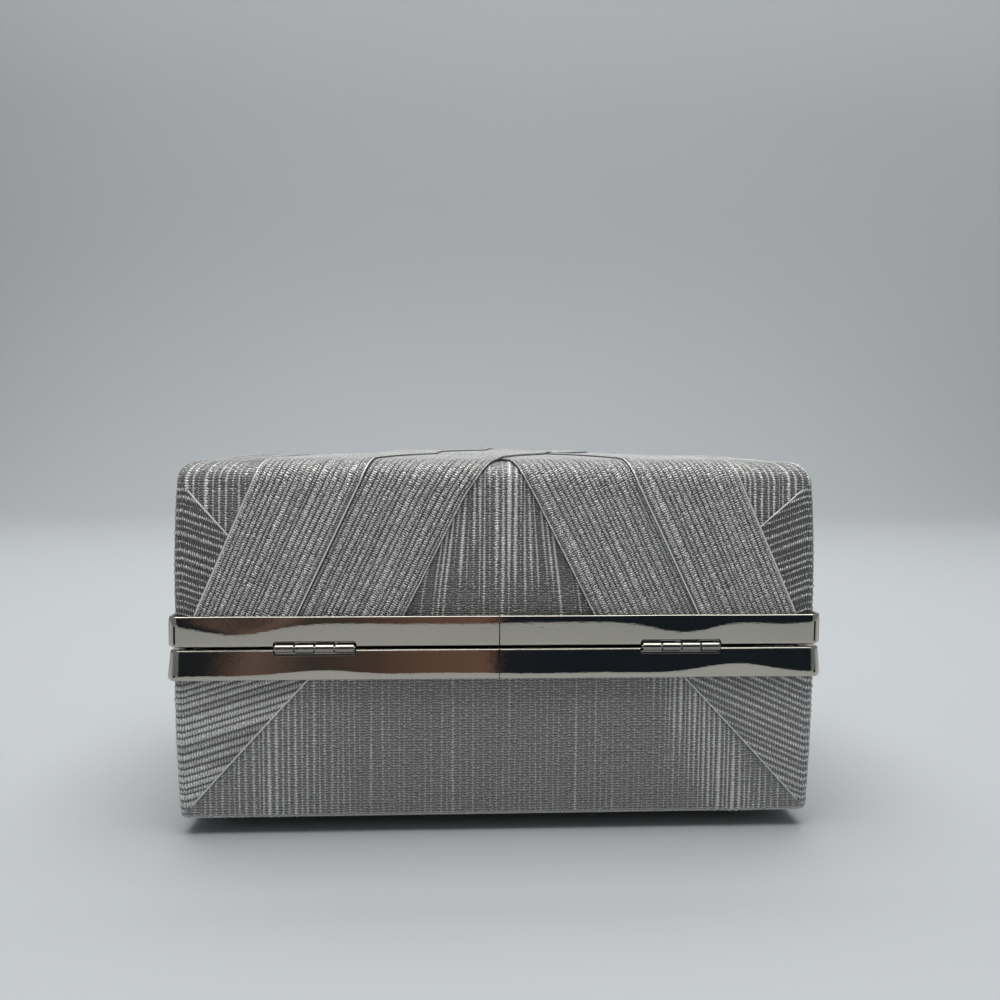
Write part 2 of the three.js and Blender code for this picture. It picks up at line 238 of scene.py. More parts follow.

# The folded corners: how a fold leans in, how its ribs sink, how narrow they are and the tone of the painted
# shade between them
Fold = namedtuple("Fold", "slope rib_slope crest shade")
FOLDS = {
    ("lid", -1): Fold(0.93, 0.36, 7.5, 0.17),
    ("lid", 1): Fold(1.2, 0.36, 7.5, 0.17),
    ("base", -1): Fold(0.93, 0.31, 1.2, 0.0),
    ("base", 1): Fold(0.945, 0.45, 4.6, 0.16),
}
FOLD_MARGIN = 0.6
FOLD_EASE = (2, -6)
FLAP_COLUMNS = 19
CORNER_COLUMNS = 8
END_COLUMNS = 40
FLAP_UNDER_BAND = 4.0
FLAP_SINK = 0.12
FLAP_REST = 0.08
FLAP_RAISE = 0.3
FLAP_RAISE_EASE = (-1, 4)
FLAP_TOP_RISE = 0.14
FLAP_RIB = 0.24
FLAP_RIB_PITCH = 1.75
FLAP_UNEVEN = 0.22
FLAP_RIBS_EASE = (0.6, 1.6)
FLAP_WALL_EASE = (0.3, 2)
# The fold's hem: a painted highlight along it and a thin painted shadow at its edge
FLAP_HEM_EASE = (1.0, 0.5)
FLAP_SHADOW_EASE = (0.14, 0.06)
# How strong the painted highlight on the base's flap ribs is, weaker further along the long wall
BASE_FLAP_GAIN = 1.08
BASE_FLAP_FADE = 0.3
BASE_FLAP_EASE = (0, 24)
LIP_STEPS = np.array([0.0, 0.1, 0.22, 0.4, 0.65, 1.0])
LIP_ROUND = 0.45
LIP_ROLL = 0.22
LIP_ROLL_PLACE = 0.4
LIP_ROLL_WIDTH = 0.3
LIP_ROLL_EASE = (0.5, 3)

# The woven ground of each half, and how far it is pulled in where the bag stands on it
# Shine and flap_shine set how bright the painted highlight on the ribs' crests is.
Ground = namedtuple("Ground", "rib_pitch wander shine top_rows flap_shine flap_threads")
GROUNDS = {
    "lid": Ground(1.55, 0.24, 1.5, 20, 0.95, 1.15),
    "base": Ground(1.4, 0.17, 1.0, 12, 1.13, 1.0),
}
GROUND_ROWS = (24, 8)
GROUND_EDGE = 0.3 * COVER_CORNER
GROUND_RIB = 0.24
GROUND_UNEVEN = 0.3
GROUND_WANDER_REACH = 9
GROUND_CREST = 5.0
GROUND_SHADE = 0.2
END_CREST = 9.0
END_CREST_X = (40, 60)
SQUEEZE_FROM = 40.0
SPREAD = 6.5
SPREAD_RISE_X = (2, 24)
SPREAD_FALL_X = (62, 30)
SPREAD_WAY = (-6, 40)
# Marks above 1 on the ground's brightest ribs are smooth painted highlight streaks
STREAK_SHINE = 1.4
UNDER_FLAP = 0.5
FOLD_SIDE_EASE = (0.2, 1.2)
FOLD_TOP_EASE = (3, -1)
# A painted highlight along the base's bottom edge: its place past the wall, its width and its brightness
RIM_PLACE = 1.0
RIM_WIDTH = 0.35
RIM_SHINE = 1.4
FLOOR_PULL = 0.08

# Where the ground's ribs stand out, in height and in painted highlight: on the lid away from its frame and at
# its ends, on the base in clusters. Both fade on the padded face.
LID_FOOT = 0.35
LID_FOOT_WAY = (3, 15)
LID_ENDS = 0.75
LID_ENDS_X = (38, 54)
LID_TOP_FADE = 0.5
BASE_PLAIN = 0.5
BASE_CLUSTER = 1.6
BASE_TOP_FADE = 0.7
WHOLE_WALL = (-2 * TUCK, -TUCK)
Cluster = namedtuple("Cluster", "x lean width level way")
BASE_CLUSTERS = [
    Cluster(45, 0.44, 4.2, 1.0, WHOLE_WALL),
    Cluster(-57, 0.0, 8.0, 0.4, WHOLE_WALL),
    Cluster(64, 0.0, 6.0, 0.3, (16, 32)),
]

# What the polished frame mirrors in front of the bag: places along X and colours
CARD_Y = -420.0
CARD_HEIGHT = 260.0
CARD_TONES = [
    (-195.0, (0.03, 0.03, 0.032)),
    (-178.0, (0.012, 0.018, 0.026)),
    (-158.0, (0.008, 0.013, 0.02)),
    (-146.0, (0.12, 0.076, 0.064)),
    (-134.0, (0.27, 0.17, 0.145)),
    (-120.0, (0.2, 0.128, 0.108)),
    (-104.0, (0.09, 0.064, 0.054)),
    (-88.0, (0.085, 0.06, 0.05)),
    (-62.0, (0.12, 0.078, 0.062)),
    (-45.0, (0.19, 0.1, 0.072)),
    (14.3, (0.3, 0.16, 0.115)),
    (15.3, (0.003, 0.009, 0.021)),
    (240.0, (0.004, 0.011, 0.023)),
]

# Low dark cards that show in the frame's corners: their ends on the floor
SIDE_CARDS = {
    "left_card": ((-183.0, -195.0), (-241.0, -124.0)),
    "right_card": ((196.0, -184.0), (247.0, -108.0)),
}
SIDE_CARD_HEIGHT = 30.0

# The camera, worked out from the photograph's straight edges
IMAGE_SIZE = 1000
FOCAL_PIXELS = 1000
SENSOR_MM = 36.0
CAMERA_PLACE = (-12.45, -292.1, 99.21)
CAMERA_YAW = -2.93
CAMERA_PITCH = 3.70
CAMERA_ROLL = -0.26
CAMERA_CLIP = (10.0, 20000.0)

# The floor, which rises in a wide curve behind, and the light
SWEEP_HALF_WIDTH = 2600.0
SWEEP_FRONT = -2400.0
SWEEP_BACK = 900.0
SWEEP_RADIUS = 700.0
SWEEP_STEPS = 20
SWEEP_HEIGHT = 2600.0
FLOOR_DROP = 0.02
Light = namedtuple("Light", "place target size power spread")
LIGHTS = {
    "overhead": Light((0, -100, 900), (0, -20, 0), (900, 700), 9.4, 180),
    "rear": Light((0, 620, 1100), (0, 660, 0), (1800, 400), 5.1, 110),
    "backdrop": Light((400, 500, 1500), (400, 1600, 1000), (3600, 500), 11.4, 110),
}
LIGHT_COLOUR = (0.98, 0.99, 1.0)
AIR_COLOUR = (0.64, 0.66, 0.675)
AIR_STRENGTH = 0.4

# Darker and lighter tones of the plain materials and the metals
PAPER_TONES = ((0.405, 0.42, 0.43), (0.42, 0.435, 0.445))
DARK_CARD_TONES = ((0.015, 0.015, 0.017), (0.025, 0.025, 0.028))
LINING_TONES = ((0.19, 0.19, 0.2), (0.3, 0.3, 0.31))
NICKEL_TONES = ((0.46, 0.435, 0.375), (0.53, 0.505, 0.44))
# The hinges' nickel is a darker copy of the frame's: painted shade for the notches the knuckles sit in
SHADED_HINGE_TONES = ((0.27, 0.26, 0.235), (0.34, 0.33, 0.3))
HAZE_RANGE = (0.35, 0.75)
NICKEL_ROUGHNESS = (0.035, 0.085)
ROLLED_SCALE = (420.0, 420.0, 1900.0)

# The satin: broad clumps and fine crinkles in its threads, and the looks of its three cloths.
# In a look, bright is the painted highlight on rib crests and thread tops, dark the painted shade in the
# valleys, thread_low the painted shade between threads, and the third colour a painted highlight on hems,
# streaks and rims.
CLUMP_STRETCH = (0.9, 0.35)
CLUMP_SCALE = 0.9
CLUMP_RANGE = (0.3, 0.7)
GRAIN_STRETCH = (2.2, 1.5)
CRINKLE_RANGE = (0.32, 0.68)
CRINKLE_WAVER = 0.8
CRINKLE_TEETH = 1.4
TEETH_MIDDLE = 1.19
THREAD_CLIP = 0.8
VALLEY_RELIEF = 0.25
SATIN_ROUGHNESS = (0.5, 0.32)
SATIN_ROUGHNESS_RANGE = (0.25, 0.75)
# Colour of the painted shadow under the hems' rolled edges and beside the folds' hems
PAINTED_SHADOW_COLOUR = (0.015, 0.015, 0.015)
SATIN_LOOKS = {
    "lid": {
        "dark": (0.06, 0.059, 0.057), "bright": (1.0, 0.985, 0.955), "painted_highlight": (0.98, 0.97, 0.94),
        "plain": 0.055, "crest": (0.34, 0.7), "teeth": 0.42, "relief": 0.3, "uneven": (0.5, 1.3),
        "patchy": (0.8, 1.2), "pitch": 0.6, "waver": 1.0, "thread_low": 0.46, "ground_thread": 0.05,
    },
    "base": {
        "dark": (0.05, 0.049, 0.048), "bright": (1.0, 0.985, 0.965), "painted_highlight": (0.98, 0.97, 0.95),
        "plain": 0.112, "crest": (0.15, 1.05), "teeth": 0.28, "relief": 0.2, "uneven": (0.58, 1.22),
        "patchy": (0.85, 1.15), "pitch": 0.66, "waver": 1.0, "thread_low": 0.46, "ground_thread": 0.035,
    },
    "band": {
        "dark": (0.05, 0.049, 0.047), "bright": (1.0, 0.985, 0.955), "painted_highlight": (0.98, 0.97, 0.94),
        "plain": 0.05, "crest": (0.29, 0.84), "teeth": 0.42, "relief": 0.3, "uneven": (0.36, 1.45),
        "patchy": (0.98, 1.06), "pitch": 0.6, "waver": 1.2, "thread_low": 0.0, "ground_thread": 0.05,
    },
}

rng = np.random.default_rng(RNG_SEED)


# Small tools

def smooth_step(low, high, value):
    share = np.clip((value - low) / (high - low), 0, 1)
    return share * share * (3 - 2 * share)


def bell(distance, width):
    return np.exp(-0.5 * (distance / width) ** 2)


def round_over(distance, radius):
    """The height of a rounded edge, from 0 at the edge to 1 a radius in from it."""
    return np.sqrt(np.clip(1 - (1 - np.clip(distance / radius, 0, 1)) ** 2, 0, 1))


def smooth_noise(count, length, reach):
    """Rows of slowly changing random values around zero."""
    kernel = bell(np.arange(-3 * reach, 3 * reach + 1), reach)
    kernel /= np.linalg.norm(kernel)
    raw = rng.normal(size=(count, length + len(kernel) - 1))
    return np.stack([np.convolve(row, kernel, "valid") for row in raw])


def rib_valleys(low, high, pitch, jitter):
    """Places of the valleys between ribs, unevenly spaced from low to high."""
    count = max(2, round((high - low) / pitch))
    widths = 1 + jitter * rng.uniform(-1, 1, count)
    edges = np.concatenate(([0.0], np.cumsum(widths)))
    return low + (high - low) * edges / edges[-1]


def rib_samples(valleys, shares, extra=()):
    """Mesh columns across the ribs: their places, which rib each is on, and where on it from 0 to 1."""
    widths = np.diff(valleys)
    regular = (valleys[:-1, None] + widths[:, None] * np.array(shares)).ravel()
    places = np.sort(np.concatenate((regular, valleys[-1:], extra)))
    ribs = np.clip(np.searchsorted(valleys, places, side="right") - 1, 0, len(widths) - 1)
    return places, ribs, (places - valleys[ribs]) / widths[ribs]


def rib_levels(count, length, kind):
    """How strong each rib is along its length."""
    size = RIB_LEVELS[kind]
    own = np.clip(size.middle + size.own * smooth_noise(count, 1, 1), size.own_low, size.own_high)
    change = 1 + size.change * smooth_noise(count, length, size.reach)
    return own * np.clip(change, size.change_low, size.change_high)


def at_columns(values, ribs, where):
    """Values given at the valleys, blended on to the mesh columns between them, as rows by columns."""
    return (values[ribs] * (1 - where)[:, None] + values[ribs + 1] * where[:, None]).T


def weld(mesh):
    """Joins points that share a place, such as those in the mitres of the frame's corners."""
    joined = bmesh.new()
    joined.from_mesh(mesh)
    bmesh.ops.remove_doubles(joined, verts=joined.verts, dist=WELD_DISTANCE * MM)
    joined.to_mesh(mesh)
    joined.free()


def make_mesh(name, points, faces, weave=None, smooth_angle=None):
    """A new object from points in millimetres. Weave holds, for each point, the places across and along the
    cloth in millimetres and a mark: 0 to 1 for a rib's crest and its painted highlight, up to 2 for a painted
    highlight on a hem, streak or rim, and down to -1 for a painted shadow beside a hem."""
    mesh = bpy.data.meshes.new(name)
    mesh.from_pydata((np.asarray(points) * MM).tolist(), [], faces)
    if weave is None:
        weld(mesh)
    mesh.shade_smooth()
    if weave is not None:
        attribute = mesh.attributes.new("weave", "FLOAT_VECTOR", "POINT")
        attribute.data.foreach_set("vector", np.asarray(weave, np.float32).ravel())
    if smooth_angle is not None:
        mesh.set_sharp_from_angle(angle=math.radians(smooth_angle))
    made = bpy.data.objects.new(name, mesh)
    bpy.context.scene.collection.objects.link(made)
    return made


def grid_faces(rows, columns, start=0, flip=False, wrap=False):
    """Quads of a grid of points stored row by row."""
    row = np.arange(rows - 1)[:, None]
    column = np.arange(columns if wrap else columns - 1)[None, :]
    after = (column + 1) % columns
    corners = [
        row * columns + column,
        row * columns + after,
        (row + 1) * columns + after,
        (row + 1) * columns + column,
    ]
    if flip:
        corners = corners[::-1]
    quads = np.stack(np.broadcast_arrays(*corners), axis=-1).reshape(-1, 4) + start
    return quads.tolist()


class Sheets:
    """Grids of points that become one mesh."""

    def __init__(self):
        self.points = []
        self.weave = []
        self.faces = []
        self.count = 0

    def add(self, points, weave=None, flip=False, wrap=False, caps=False):
        rows, columns = points.shape[:2]
        self.faces += grid_faces(rows, columns, self.count, flip, wrap)
        if caps:
            first = list(range(self.count, self.count + columns))
            last = [i + (rows - 1) * columns for i in first]
            self.faces += [first, last[::-1]] if flip else [first[::-1], last]
        self.points.append(points.reshape(-1, 3))
        if weave is not None:
            self.weave.append(weave.reshape(-1, 3))
        self.count += rows * columns

    def build(self, name, smooth_angle=None):
        weave = np.concatenate(self.weave) if self.weave else None
        return make_mesh(name, np.concatenate(self.points), self.faces, weave, smooth_angle)


def one_sheet(name, points, weave=None, smooth_angle=None, **closing):
    sheets = Sheets()
    sheets.add(points, weave, **closing)
    return sheets.build(name, smooth_angle)


def finish_piece(piece, body, slot, material, *nodes):
    piece.data.materials.append(material)
    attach(piece, body)
    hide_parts(*nodes)


# The surface that the cloth lies on, for one half

class Cover:
    def __init__(self, name, sign, half_x, rise, taper, edge, crown, flat, power, bulge):
        self.name = name
        self.half_x = half_x
        self.sign = sign
        self.edge = edge
        self.crown = crown
        self.flat = flat
        self.power = power
        self.bulge = bulge
        self.straight = rise - edge
        self.inset = taper * self.straight / rise
        self.slope = math.atan2(self.inset, self.straight)
        self.wall_run = math.hypot(self.straight, self.inset)
        self.top_half_x = half_x - self.inset - edge
        self.top_half_y = COVER_HALF_Y - self.inset - edge
        self.top_start = self.wall_run + edge * math.pi / 2
        self.whole_run = 2 * (self.top_start + self.top_half_y)
        self.fold_top = self.wall_run - FOLD_MARGIN

    def way_up(self, run):
        """A run from the hinge side over to the clasp side, as a way up from the nearer frame edge."""
        return np.minimum(run, self.whole_run - run)

    def over_edge(self, way, before=0, after=0):
        """From 0 on the wall to 1 on the padded face."""
        return smooth_step(self.wall_run + before, self.top_start + after, way)

    def profile(self, way):
        """Inward and upward place, and the tilt of the surface, at a way up from the frame's edge."""
        share = np.clip(way / self.wall_run, 0, 1)
        turn = np.clip((way - self.wall_run) / self.edge, 0, math.pi / 2)
        beyond = np.maximum(way - self.top_start, 0)
        swell = self.bulge * 4 * share * (1 - share)
        inward = self.inset * share + self.edge * (1 - np.cos(turn)) + beyond - swell
        up = FRAME_TOP + np.minimum(way, 0) + self.straight * share + self.edge * np.sin(turn)
        tilt = np.maximum(turn, self.slope)
        return inward, up, tilt

    def bow(self, share):
        beyond_flat = np.clip((np.abs(share) - self.flat) / (1 - self.flat), 0, 1)
        return 1 - beyond_flat ** self.power

    def lift(self, x, y):
        """How far the padded face stands out from its own edges."""
        return self.crown * self.bow(x / self.top_half_x) * self.bow(y / self.top_half_y)

    def place(self, x, y, up):
        z = PARTING + self.sign * up
        return np.stack(np.broadcast_arrays(x, y, z), axis=-1)

    def wrap(self, x, run, height):
        """Points at x and a run from the hinge side's frame edge over the top to the clasp side."""
        inward, up, tilt = self.profile(self.way_up(run))
        half_x = self.half_x - np.minimum(inward, self.inset + self.edge)
        past_corner = np.clip(np.abs(x) - (half_x - COVER_CORNER), 0, COVER_CORNER)
        rounding = COVER_CORNER - np.sqrt(COVER_CORNER**2 - past_corner**2)
        out = COVER_HALF_Y - inward - rounding * np.cos(tilt)
        up = up + self.lift(x, out) + height * np.sin(tilt)
        side = np.where(run > self.whole_run / 2, 1, -1)
        return self.place(x, side * (out + height * np.cos(tilt)), up)

    def ring_points(self, way, along, height):
        """Points on a level of the wall. Along is measured on the level from where the long hinge-side wall
        meets the corner of the right end: positive round the corner, negative back along the long wall."""
        inward, up, tilt = self.profile(way)
        half_x = self.half_x - inward
        half_y = COVER_HALF_Y - inward
        end_run = 2 * (half_y - COVER_CORNER)
        first = np.clip(along / COVER_CORNER, 0, math.pi / 2)
        end = np.clip(along - CORNER_RUN, 0, end_run)
        second = np.clip((along - CORNER_RUN - end_run) / COVER_CORNER, 0, math.pi / 2)
        near_wall = np.minimum(along, 0)
        far_wall = np.maximum(along - 2 * CORNER_RUN - end_run, 0)
        facing = first + second
        reach = COVER_CORNER + height * np.cos(tilt)
        x = half_x - COVER_CORNER + near_wall - far_wall + reach * np.sin(facing)
        y = -(half_y - COVER_CORNER) + end - reach * np.cos(facing)
        return self.place(x, y, up + height * np.sin(tilt))


LID = Cover(
    "lid", 1, half_x=COVER_HALF_X, rise=37.5, taper=0.8, edge=5.0,
    crown=0.5, flat=0.0, power=4, bulge=0.3,
)
BASE = Cover(
    "base", -1, half_x=COVER_HALF_X + BASE_END_SWELL, rise=PARTING - FRAME_TOP - BASE_CROWN,
    taper=0.75, edge=1.4, crown=BASE_CROWN, flat=0.5, power=2, bulge=0.2,
)


# Ribbed satin of the two halves

def runs_along(cover, wall_rows, edge_rows, top_rows):
    """Rows of cloth from one long frame edge to the other, closer together where it bends."""
    near = np.concatenate((
        np.linspace(-TUCK, cover.wall_run, wall_rows, endpoint=False),
        np.linspace(cover.wall_run, cover.top_start, edge_rows, endpoint=False),
        np.linspace(cover.top_start, cover.whole_run / 2, top_rows),
    ))
    return np.concatenate((near, cover.whole_run - near[-2::-1]))


def ground_strength(cover, x, way):
    """How much the ribs of the ground stand out, in height and in painted highlight: 1 is a full rib."""
    on_top = cover.over_edge(way)
    if cover.name == "lid":
        wall = LID_FOOT + (1 - LID_FOOT) * smooth_step(*LID_FOOT_WAY, way)
        ends = LID_ENDS * smooth_step(*LID_ENDS_X, np.abs(x))
        return np.maximum(wall, ends) * (1 - LID_TOP_FADE * on_top)
    beside_fold = np.maximum.reduce([
        line.level * bell(x - line.x - line.lean * way, line.width) * smooth_step(*line.way, way)
        for line in BASE_CLUSTERS
    ])
    return (BASE_PLAIN + BASE_CLUSTER * beside_fold) * (1 - BASE_TOP_FADE * on_top)


def under_flaps(cover, x, way):
    """How much a place on the ground lies under a folded corner, from 0 to 1."""
    slope = np.where(x < 0, FOLDS[(cover.name, -1)].slope, FOLDS[(cover.name, 1)].slope)
    fold_x = cover.half_x - COVER_CORNER - slope * np.maximum(cover.fold_top - way, 0)
    below_top = smooth_step(*FOLD_TOP_EASE, way - cover.fold_top)
    return smooth_step(*FOLD_SIDE_EASE, np.abs(x) - fold_x) * below_top


def add_ground(sheets, cover):
    """The middle of the cloth, from one long frame edge over the top to the other, ribs running across."""
    ground = GROUNDS[cover.name]
    half_width = cover.half_x - GROUND_EDGE
    valleys = rib_valleys(-half_width, half_width, ground.rib_pitch, GROUND_UNEVEN)
    flat_x, ribs, where = rib_samples(valleys, RIB_SHARES)
    side = np.sign(flat_x)
    from_middle = np.abs(flat_x)
    run = runs_along(cover, *GROUND_ROWS, ground.top_rows)[:, None]
    way = cover.way_up(run)
    inward = np.clip(cover.profile(way)[0] - cover.inset, 0, cover.edge)
    room = (half_width - inward - SQUEEZE_FROM) / (half_width - SQUEEZE_FROM)
    outer = np.maximum(from_middle - SQUEEZE_FROM, 0)
    x = side * (np.minimum(from_middle, SQUEEZE_FROM) + outer * room)
    wander = ground.wander * smooth_noise(valleys.size, len(run), GROUND_WANDER_REACH)
    x = x + at_columns(wander, ribs, where)
    power = GROUND_CREST
    if cover.name == "lid":
        spread = smooth_step(*SPREAD_RISE_X, from_middle) * smooth_step(*SPREAD_FALL_X, from_middle)
        x = x - side * spread * SPREAD * smooth_step(*SPREAD_WAY, way)
        power = GROUND_CREST + (END_CREST - GROUND_CREST) * smooth_step(*END_CREST_X, from_middle)
    level = ground_strength(cover, x, way) * rib_levels(valleys.size, len(run), cover.name)[ribs].T
    crest = np.sin(math.pi * where) ** power
    height = GROUND_RIB * level * crest - UNDER_FLAP * under_flaps(cover, x, way)
    # Painted highlight on the ribs' crests; the brightest rise above 1 into smooth painted highlight streaks.
    shade = np.clip(np.maximum(ground.shine * level * crest, GROUND_SHADE), 0, STREAK_SHINE)
    if cover.name == "base":
        height = height - FLOOR_PULL * cover.over_edge(way)
        # A painted highlight along the base's bottom edge.
        rim = bell(way - cover.wall_run - RIM_PLACE, RIM_WIDTH)
        shade = shade * (1 - rim) + RIM_SHINE * rim
    weave = np.stack(np.broadcast_arrays(flat_x, run, shade), axis=-1)
    sheets.add(cover.wrap(x, run, height), weave, flip=cover.sign < 0)


def flap_reach(cover, way, side, far):
    """How far a row of an end's cloth runs on along a long wall: to the fold, into the frame or under a band.
    The bands lean across the top, so on the far wall the other side's inner band comes down beside it."""
    fold = FOLDS[(cover.name, side)]
    to_fold = (cover.fold_top - way) / (1 / fold.slope - fold.rib_slope)
    into_frame = (way + TUCK) / fold.rib_slope
    reach = np.minimum(to_fold, into_frame)
    if cover.name == "lid":
        if far:
            lean = BANDS["inner"].inner_lean
            band_x = lean * cover.whole_run + BAND_GATHER[-side] - BANDS["inner"].inner_foot
        else:
            lean = BANDS["outer"].outer_lean
            band_x = BANDS["outer"].outer_foot
        beside = cover.half_x - COVER_CORNER - band_x + FLAP_UNDER_BAND
        reach = np.minimum(reach, (beside + lean * way) / (1 + lean * fold.rib_slope))
    return np.maximum(reach, -CORNER_RUN / 2)


def corner_columns(reach):
    """Places along each row of an end's cloth, from its free edge on the long wall to the end's own wall."""
    shares = np.concatenate((np.zeros(len(LIP_STEPS)), np.linspace(0, 1, FLAP_COLUMNS)[1:]))
    lip = np.concatenate((LIP_STEPS, np.full(FLAP_COLUMNS - 1, LIP_STEPS[-1])))
    free = np.maximum(reach[:, None] - LIP_STEPS[-1], 0.0)
    flap = lip - reach[:, None] + free * shares
    last = flap[:, -1:]
    corner = last + (CORNER_RUN - last) * np.linspace(0, 1, CORNER_COLUMNS)[1:]
    return np.concatenate((flap, corner), axis=1)


def add_end(sheets, cover, side):
    """The cloth of one end, ribs running level, with its corners folded round on to the long walls."""
    fold = FOLDS[(cover.name, side)]
    ground = GROUNDS[cover.name]
    valleys = rib_valleys(-TUCK, cover.top_start, FLAP_RIB_PITCH, FLAP_UNEVEN)
    way, ribs, where = rib_samples(valleys, RIB_SHARES)
    near = corner_columns(flap_reach(cover, way, side, far=False))
    far = corner_columns(flap_reach(cover, way, side, far=True))
    way = way[:, None]
    end_run = 2 * (COVER_HALF_Y - cover.profile(way)[0] - COVER_CORNER)
    middle = CORNER_RUN + end_run * np.linspace(0, 1, END_COLUMNS)[1:-1]
    whole = 2 * CORNER_RUN + end_run
    along = np.concatenate((near, middle, whole - far[:, ::-1]), axis=1)
    on_wall = np.maximum(-along, 0) + np.maximum(along - whole, 0)
    from_fold = np.minimum(along - along[:, :1], along[:, -1:] - along)
    folded = smooth_step(*FOLD_EASE, way - cover.wall_run)
    lip_curve = round_over(from_fold, LIP_ROUND)
    roll = LIP_ROLL * bell(from_fold - LIP_ROLL_PLACE, LIP_ROLL_WIDTH) * smooth_step(*LIP_ROLL_EASE, on_wall)
    raised = FLAP_RAISE * smooth_step(*FLAP_RAISE_EASE, on_wall) + FLAP_REST
    height = -FLAP_SINK + (raised + FLAP_SINK + roll) * lip_curve * folded
    height = height + FLAP_TOP_RISE * (1 - folded) * lip_curve
    strength = rib_levels(valleys.size, along.shape[1], "flap")[ribs]
    crest = np.sin(math.pi * where)[:, None] ** fold.crest
    height = height + FLAP_RIB * strength * crest * smooth_step(*FLAP_RIBS_EASE, from_fold)
    if cover.name == "base":
        height = height - FLOOR_PULL * cover.over_edge(way)
        strength = strength * (BASE_FLAP_GAIN - BASE_FLAP_FADE * smooth_step(*BASE_FLAP_EASE, on_wall))
    points = cover.ring_points(way - fold.rib_slope * on_wall, along, height)
    if side < 0:
        points = points * MIRROR_X
    on_flap = smooth_step(*FLAP_WALL_EASE, on_wall)
    # The fold's hem: a painted highlight along the fold and a thin painted shadow at its edge.
    painted_highlight = smooth_step(*FLAP_HEM_EASE, from_fold) * on_flap
    shadow = smooth_step(*FLAP_SHADOW_EASE, from_fold) * on_flap
    # Painted highlight on the flap ribs' crests and painted shade between them.
    shine = np.maximum(ground.flap_shine * strength * crest, fold.shade)
    shade = np.clip(shine, 0, 1) * (1 - painted_highlight) + 2 * painted_highlight * (1 - shadow) - shadow
    weave = np.stack(np.broadcast_arrays(way, ground.flap_threads * along, shade), axis=-1)
    sheets.add(points, weave, flip=(side * cover.sign) < 0)


def make_cloth(cover, material):
    """The satin of one half: its ground and its two ends."""
    sheets = Sheets()
    add_ground(sheets, cover)
    add_end(sheets, cover, -1)
    add_end(sheets, cover, 1)
    cloth = sheets.build(f"{cover.name}_satin")
    finish_piece(cloth, cover.name, "satin", material, f"{cover.name}_cover")


def shell_ring(cover, way, sink):
    """One level of the tray, sunk below the cloth: half of it round an end, and the same half turned."""
    inward = cover.profile(way)[0]
    half_long = cover.half_x - inward - COVER_CORNER
    lengths = {"long": half_long, "corner": CORNER_RUN, "end": 2 * (COVER_HALF_Y - inward - COVER_CORNER)}
    start = -half_long
    along = []
    for kind in ("long", "corner", "end", "corner", "long"):
        along.append(np.linspace(start, start + lengths[kind], SHELL_STEPS[kind], endpoint=False))
        start = start + lengths[kind]
    along = np.concatenate(along)
    half = cover.ring_points(np.full(along.shape, way), along, -sink)
    return np.concatenate((half, half * HALF_TURN))


def make_shell(cover, material):
    """The stiff tray under the cloth, open at the frame."""
    ways = np.concatenate((
        [-TUCK - SHELL_DEEPER],
        np.linspace(0, cover.wall_run, SHELL_RINGS),
        np.linspace(cover.wall_run, cover.top_start, SHELL_RINGS)[1:],
    ))
    outside = [shell_ring(cover, way, CLOTH_THICKNESS) for way in ways]
    inside = [shell_ring(cover, way, SHELL_WALL) for way in ways]
    crown = []
    for share in CROWN_RINGS:
        ring = outside[-1] * np.array([share, share, 1])
        ring[:, 2] += cover.sign * cover.lift(ring[:, 0], ring[:, 1])
        crown.append(ring)
    rings = np.stack(crown[::-1] + outside[::-1] + inside)
    name = f"{cover.name}_shell"
    shell = one_sheet(name, rings, smooth_angle=50, wrap=True, caps=True, flip=cover.sign > 0)
    finish_piece(shell, cover.name, "satin", material, f"{cover.name}_cover")


# Pleated bands

def band_edges(place, side, run):
    """The two edges of a band at a run. Its inner edge is pulled further in where it turns over the top."""
    band = BANDS[place]
    inner = band.inner_foot - band.inner_lean * run
    if place == "inner":
        inner = inner - BAND_GATHER[side] * smooth_step(*BAND_GATHER_WAY, run)
    outer = band.outer_foot - band.outer_lean * run
    return side * inner, side * outer


def band_support(place, side, x, run):
    """How high the cloth under a band lies above the ground."""
    support = np.full(x.shape, BAND_REST)
    if place == "outer":
        inside = side * (band_edges("inner", side, run)[1] - x)
        support = support + BAND_OVER * smooth_step(*BAND_OVER_EASE, inside)
    if side < 0:
        first = band_edges("inner", 1, run)[0]
        middle_seam, last = band_edges("outer", 1, run)
        under = smooth_step(*CROSSING_EASE, x - first) * smooth_step(*CROSSING_EASE, last - x)
        doubled = 1 - np.clip(np.abs(x - middle_seam - DOUBLED_PLACE) / DOUBLED_REACH, 0, 1)
        support = support + CROSSING_RISE * under + DOUBLED_RISE * under * smooth_step(0, 1, doubled)
    return support


def band_ribs(valleys, ribs, where, rows):
    """How strongly each place of a band shows its rib, in height and in painted highlight, the valleys' low
    tone being painted shade, and the thin painted highlight streaks along some ribs.
    """
    count = valleys.size
    strength = rib_levels(count, rows, "band")[ribs].T
    tone = np.clip(VALLEY_TONE + VALLEY_CHANGE * smooth_noise(count, rows, VALLEY_REACH), 0, VALLEY_MOST)
    low = at_columns(tone, ribs, where)
    crest = low + (1 - low) * np.sin(math.pi * where) ** BAND_CREST
    streak_place = rng.uniform(*STREAK_PLACE, count)
    level = np.clip(STREAK_CHANGE * smooth_noise(count, rows, STREAK_REACH) - STREAK_RARE, 0, STREAK_MOST)
    streak = STREAK_GAIN * level[ribs].T * bell(where - streak_place[ribs], STREAK_WIDTH)
    return strength * crest, streak


